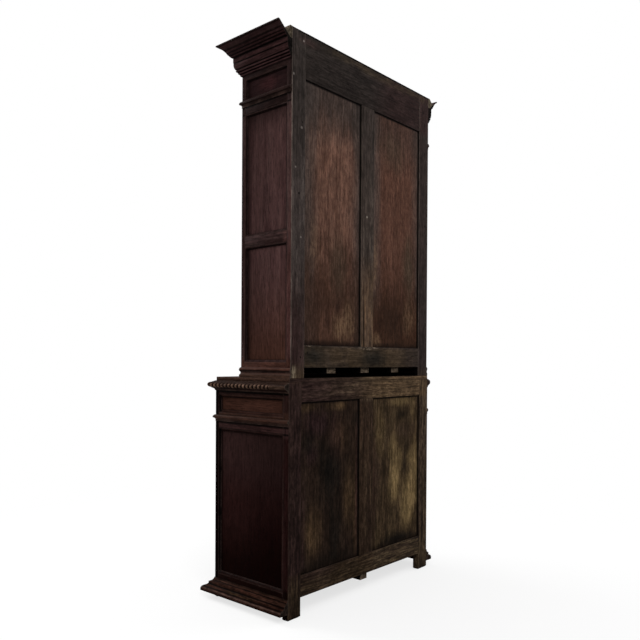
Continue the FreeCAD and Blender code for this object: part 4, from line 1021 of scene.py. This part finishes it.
def waist_section():
    """Points (out, up) round the section, each with how far it lies across the carved nose."""
    under = on_section(0.013, 0.011)
    tip = on_section(NOSE_OUT, 0.026)
    nose_top = on_section(0.015, 0.038)
    hollow = curve(on_section(0.002, 0.0), on_section(0.0035, 0.009), under, 6) + [under]
    nose = curve(on_section(0.015, 0.014), on_section(0.0255, 0.0155), tip, 8)
    nose += curve(tip, on_section(0.0255, 0.0365), nose_top, 8) + [nose_top]
    points = [(point, None) for point in [on_section(0.0, 0.0)] + hollow]
    points += [(point, index / (len(nose) - 1)) for index, point in enumerate(nose)]
    return points + [(Vector((0.0, waist_high)), None)]


def carve_depth(across, along, plain):
    """How deep the gouge went: leaves between leaning cuts, and a drilled eye at each cut's foot."""
    if across is None:
        return 0.0
    leaf = abs(math.sin(math.pi * (along / LEAF_PITCH + LEAF_LEAN * across)))
    cut = (1 - leaf**0.6) * math.sin(math.pi * min(max(across, 0.04), 0.96)) ** 0.5
    eye = max(0.0, 1 - leaf / 0.6) * max(0.0, 1 - abs(across - EYE_PLACE) / EYE_REACH)
    return LEAF_DEPTH * min(cut * 0.85 + eye * 0.7, 1.0) * plain


section = waist_section()
heart = on_section(0.008, 0.026)
waist = bmesh.new()
for run in ("front", "right", "left"):
    length = (lower_half + NOSE_OUT) * 2 if run == "front" else BACK_PLANE - waist_front + NOSE_OUT
    steps = round(length / LEAF_PITCH * STEPS_IN_LEAF)
    work = bmesh.new()
    gouged = work.verts.layers.float.new("gouged")
    rings = []
    for step in range(steps + 1):
        share = step / steps
        along = share * length
        plain = 1.0 if run == "front" else min(max((length - PLAIN_END - along) / RUN_OUT, 0.0), 1.0)
        ring = []
        for point, across in section:
            depth = carve_depth(across, along, plain)
            out, up = point + (heart - point).normalized() * depth
            if run == "front":
                spot = ((share * 2 - 1) * (lower_half + out), waist_front - out, up)
            else:
                y = (waist_front - out) * (1 - share) + BACK_PLANE * share
                spot = ((lower_half + out) * (1 if run == "right" else -1), y, up)
            vertex = work.verts.new(spot)
            vertex[gouged] = depth / LEAF_DEPTH if plain else PLAIN_TONE
            ring.append(vertex)
        rings.append(ring)
    for here, there in zip(rings, rings[1:]):
        for index in range(len(here)):
            work.faces.new((here[index - 1], here[index], there[index], there[index - 1]))
    work.faces.new(rings[0])
    work.faces.new(rings[-1])
    bmesh.ops.recalc_face_normals(work, faces=work.faces)
    mark_grain(work)
    add_to(waist, work)


def carving_stain_shade_and_highlight(colour, marks):
    """Painted shade with grime in the cuts and all over the underside; the polish worn off the tops of the
    leaves, with a painted highlight there.
    """
    depth = put(colour.id_data, "ShaderNodeAttribute", attribute_name="gouged").outputs["Fac"]
    height = marks["Z"]
    leaf_tops = times(band(height, waist_low + 0.0145, waist_low + 0.031, 0.003), ramp(depth, 0.25, 0.03))
    colour = painted(colour, LEAF_TOP, leaf_tops, ramp(marks["Blotches"], 0.1, 0.7, 0.4, 1.0))
    colour = painted(colour, CUT_BLACK, ramp(depth, 0.25, 0.5), 0.95)
    colour = painted(colour, UNDERSIDE, ramp(height, waist_low + 0.016, waist_low + 0.008), 0.9)
    return painted(colour, SOOT_AND_SHADE, ramp(height, waist_low + 0.004, waist_low + 0.001), 0.9)


carved_oak = timber(
    "carved waxed oak",
    ((0.017, 0.009, 0.0066), (0.027, 0.014, 0.01), (0.04, 0.022, 0.017), (0.07, 0.042, 0.032)),
    0.008, 0.45, contrast=0.3, relief=0.25, stain=carving_stain_shade_and_highlight,
)
waist_piece = finished_piece("carved_waist_nosing", waist, [carved_oak, end_grain_oak], run_or_end)
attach(waist_piece, "carcass")
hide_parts("waist_mouldings")

# Floors, shelves and their fittings: plain oak boards, bearers, racks, cleats, runners and glue blocks.
# Planed but never polished, and kept from the light, so they stay a paler brown with dust on top.

BOARD_ARRIS = 0.0008
inner_oak = timber(
    "plain inner oak",
    ((0.05, 0.028, 0.016), (0.12, 0.072, 0.042), (0.19, 0.125, 0.08), (0.2, 0.14, 0.095)),
    0.1, 0.7, fineness=22.0, contrast=0.3, dust=0.5,
)
bearer_end_oak = timber(
    "greyed end of a bearer",
    ((0.05, 0.037, 0.026), (0.125, 0.092, 0.064), (0.2, 0.152, 0.11), (0.2, 0.15, 0.11)),
    0.015, 0.85, fineness=60.0, contrast=0.3,
)
# Black for faces inside the slot between the cases: grime and painted shade.
dirty_and_shaded_oak = timber(
    "inner oak black with dirt",
    ((0.0022, 0.0018, 0.0017), (0.004, 0.0032, 0.003), (0.008, 0.0064, 0.006), (0.02, 0.015, 0.012)),
    0.01, 0.85, fineness=22.0, contrast=0.3,
)
split_oak = timber(
    "split end of a raw block",
    ((0.035, 0.027, 0.019), (0.1, 0.08, 0.055), (0.19, 0.155, 0.11), (0.2, 0.16, 0.12)),
    0.015, 0.85, fineness=60.0,
)


def end_or_side(middle, direction):
    return 0 if direction.y > MOSTLY else 1


def top_or_underside(middle, direction):
    return 1 if direction.z < -MOSTLY else 0


for node in (
    "lower_floor", "lower_shelf", "bookshelves", "dust_board", "shelf_cleats", "drawer_runners",
    "drawer_box_left", "drawer_box_right",
):
    dress(node, BOARD_ARRIS, [inner_oak])
dress("shelf_racks", 0.0, [inner_oak])
# The upper floor's underside and the bearers' sides take the black of grime and painted shade.
dress("upper_floor", BOARD_ARRIS, [inner_oak, dirty_and_shaded_oak], top_or_underside)
dress("floor_bearers", BOARD_ARRIS, [bearer_end_oak, dirty_and_shaded_oak], end_or_side)
dress("crown_blocks", BOARD_ARRIS, [split_oak, inner_oak], end_or_side)

# Doors: framed stiles and rails, glazed above and with a raised panel below.
# Oak like the rest of the front, the panes held by beads in front and stops behind.

door_panel_oak = timber(
    "dark waxed board of the doors", FRONT_TONES, 0.02, 0.45, fineness=30.0, contrast=0.2, relief=0.25,
)
for side in SIDES:
    dress(f"upper_door_frame_{side}", BOARD_ARRIS, [waxed_oak])
    dress(f"lower_door_frame_{side}", INNER_ARRIS, [waxed_oak])
    dress(f"lower_door_panel_{side}", BOARD_ARRIS, [door_panel_oak])

# Panes: one sheet of drawn glass in each upper door, slightly wavy and faintly green.
# It lies loose between the bead of the frame and the stops, and has a thin film of dirt.

pane_glass, tree, shader = new_material("drawn glass")
shader.inputs["Base Color"].default_value = (0.93, 0.97, 0.95, 1)
shader.inputs["Transmission Weight"].default_value = 1.0
shader.inputs["IOR"].default_value = 1.1
place = put(tree, "ShaderNodeTexCoord").outputs["Object"]
film = cloud(place, 9.0, 5.0, 0.7)
join(ramp(film, 0.35, 0.75, 0.01, 0.1), shader.inputs["Roughness"])
emboss(shader, cloud(scaled(place, 1, 1, 0.35), 11.0, 1.0), 0.15, 0.004)
for side in SIDES:
    frame["nodes"][f"upper_door_glass_{side}"].data.materials[0] = pane_glass

# Drawer fronts and ironwork: plain oak fronts; lift-off hinges with pins, and turned knobs, of dark iron.
# The fixed hinge halves are let into the posts, the hung halves into the door stiles.

IRON = (0.028, 0.026, 0.025)
FORGE_SCALE = (0.07, 0.066, 0.062)
RUST = (0.05, 0.022, 0.011)
KNOB_START = 0.0005
forged_iron, tree, shader = new_material("dark forged iron")
shader.inputs["Metallic"].default_value = 0.85
place = put(tree, "ShaderNodeTexCoord").outputs["Object"]
scale_marks = ramp(cloud(place, 180.0, 5.0, 0.7), 0.4, 0.65)
rust = ramp(cloud(place, 55.0, 5.0, 0.75), 0.55, 0.72)
join(painted(painted(IRON, FORGE_SCALE, scale_marks), RUST, rust), shader.inputs["Base Color"])
join(ramp(scale_marks, 0.0, 1.0, 0.62, 0.42), shader.inputs["Roughness"])
emboss(shader, scale_marks, 0.3, 0.0006)
for node in (
    "hinge_post_halves", "upper_door_fittings_left", "upper_door_fittings_right",
    "lower_door_fittings_left", "lower_door_fittings_right",
):
    frame["nodes"][node].data.materials[0] = forged_iron


def front_or_knob(middle, direction):
    return 1 if middle.y < waist_front - KNOB_START else 0


for side in SIDES:
    dress(f"drawer_front_{side}", BOARD_ARRIS, [waxed_oak, forged_iron], front_or_knob)

# Floor: a plain pale sweep that the bookcase stands on.
# White to the eye far off, with the soft shadow kept near the feet, and dull to the light it throws back.

FLOOR_WIDTH = 60
FLOOR_DROP = 0.0005
WHITE = (1, 1, 1, 1)
LIT_FLOOR = (0.9, 0.9, 0.9, 1)
DULL_FLOOR = (0.35, 0.35, 0.35, 1)
SEEN_RAYS = ("Is Camera Ray", "Is Glossy Ray", "Is Transmission Ray")


def seen_only(tree):
    """One for the rays that show the picture, its reflections and what is seen through glass."""
    path = put(tree, "ShaderNodeLightPath").outputs
    seen = math_of("MAXIMUM", path[SEEN_RAYS[0]], path[SEEN_RAYS[1]])
    return math_of("MAXIMUM", seen, path[SEEN_RAYS[2]])


bpy.ops.mesh.primitive_plane_add(size=FLOOR_WIDTH, location=(0, 0, -FLOOR_DROP))
floor = bpy.context.object
floor.name = "floor"
pale_floor, tree, shader = new_material("pale floor")
tree.nodes.remove(shader)
lit = put(tree, "ShaderNodeBsdfDiffuse", {"Color": LIT_FLOOR})
white = put(tree, "ShaderNodeEmission", {"Color": WHITE, "Strength": 1.0})
near = ramp(length_of(put(tree, "ShaderNodeTexCoord").outputs["Object"]), 2.6, 0.7, 0.0, 0.28)
shown = put(tree, "ShaderNodeMixShader", {0: near, 1: white.outputs[0], 2: lit.outputs[0]})
dull = put(tree, "ShaderNodeBsdfDiffuse", {"Color": DULL_FLOOR})
surface = put(tree, "ShaderNodeMixShader", {0: seen_only(tree), 1: dull.outputs[0], 2: shown.outputs[0]})
join(surface.outputs[0], tree.nodes["Material Output"].inputs["Surface"])
floor.data.materials.append(pale_floor)

# Studio light: a soft sky that is brighter overhead, and white to the eye.
# A large key lamp stands over the camera, with a weaker one beyond the far side and one before the front.

world = bpy.data.worlds.new("studio")
bpy.context.scene.world = world
world.use_nodes = True
tree = world.node_tree
soft = tree.nodes["Background"]
way = put(tree, "ShaderNodeTexCoord").outputs["Generated"]
sky = ramp(axis_of(way, "Z"), -0.2, 1.0, 0.25, 0.75)
join(put(tree, "ShaderNodeCombineColor", {0: sky, 1: sky, 2: sky}).outputs[0], soft.inputs["Color"])
soft.inputs["Strength"].default_value = 0.9
white = put(tree, "ShaderNodeBackground", {"Color": WHITE, "Strength": 1.0})
both = put(tree, "ShaderNodeMixShader", {0: seen_only(tree), 1: soft.outputs[0], 2: white.outputs[0]})
join(both.outputs[0], tree.nodes["World Output"].inputs["Surface"])


def lamp(name, place, aim, width, power):
    light = bpy.data.lights.new(name, "AREA")
    light.size = width
    light.energy = power
    stand = bpy.data.objects.new(name, light)
    stand.location = place
    stand.rotation_euler = (Vector(aim) - Vector(place)).to_track_quat("-Z", "Y").to_euler()
    bpy.context.scene.collection.objects.link(stand)


lamp("key", (3.2, 3.6, 4.4), (0, 0.1, 1.2), 2.6, 170)
lamp("fill", (-3.6, 2.4, 3.0), (0, 0.1, 1.2), 2.6, 60)
lamp("front", (0.9, -4.4, 3.4), (0, 0, 1.1), 2.8, 170)

# Camera: standing behind the bookcase and to its right, a little below half its height.
# Its place, turn and lens were worked out from the edges of the back and the side in the photograph.

EYE = Vector((2.5001, 2.1695, 1.0559))
YAW = math.radians(48.582)
PITCH = math.radians(-0.449)
ROLL = math.radians(0.322)
FOCAL_PIXELS = 686.8
PICTURE = 640
SENSOR = 36.0
RISE_PIXELS = 46

forward = Vector((-math.sin(YAW) * math.cos(PITCH), -math.cos(YAW) * math.cos(PITCH), math.sin(PITCH)))
right = forward.cross(Vector((0, 0, 1))).normalized()
up = right.cross(forward)
right, up = right * math.cos(ROLL) + up * math.sin(ROLL), up * math.cos(ROLL) - right * math.sin(ROLL)
lens = bpy.data.cameras.new("camera")
lens.sensor_width = SENSOR
lens.lens = FOCAL_PIXELS * SENSOR / PICTURE
lens.shift_y = RISE_PIXELS / PICTURE
camera = bpy.data.objects.new("camera", lens)
camera.matrix_world = Matrix.Translation(EYE) @ Matrix((right, up, -forward)).transposed().to_4x4()
bpy.context.scene.collection.objects.link(camera)
bpy.context.scene.camera = camera
bpy.context.scene.view_settings.view_transform = "Standard"
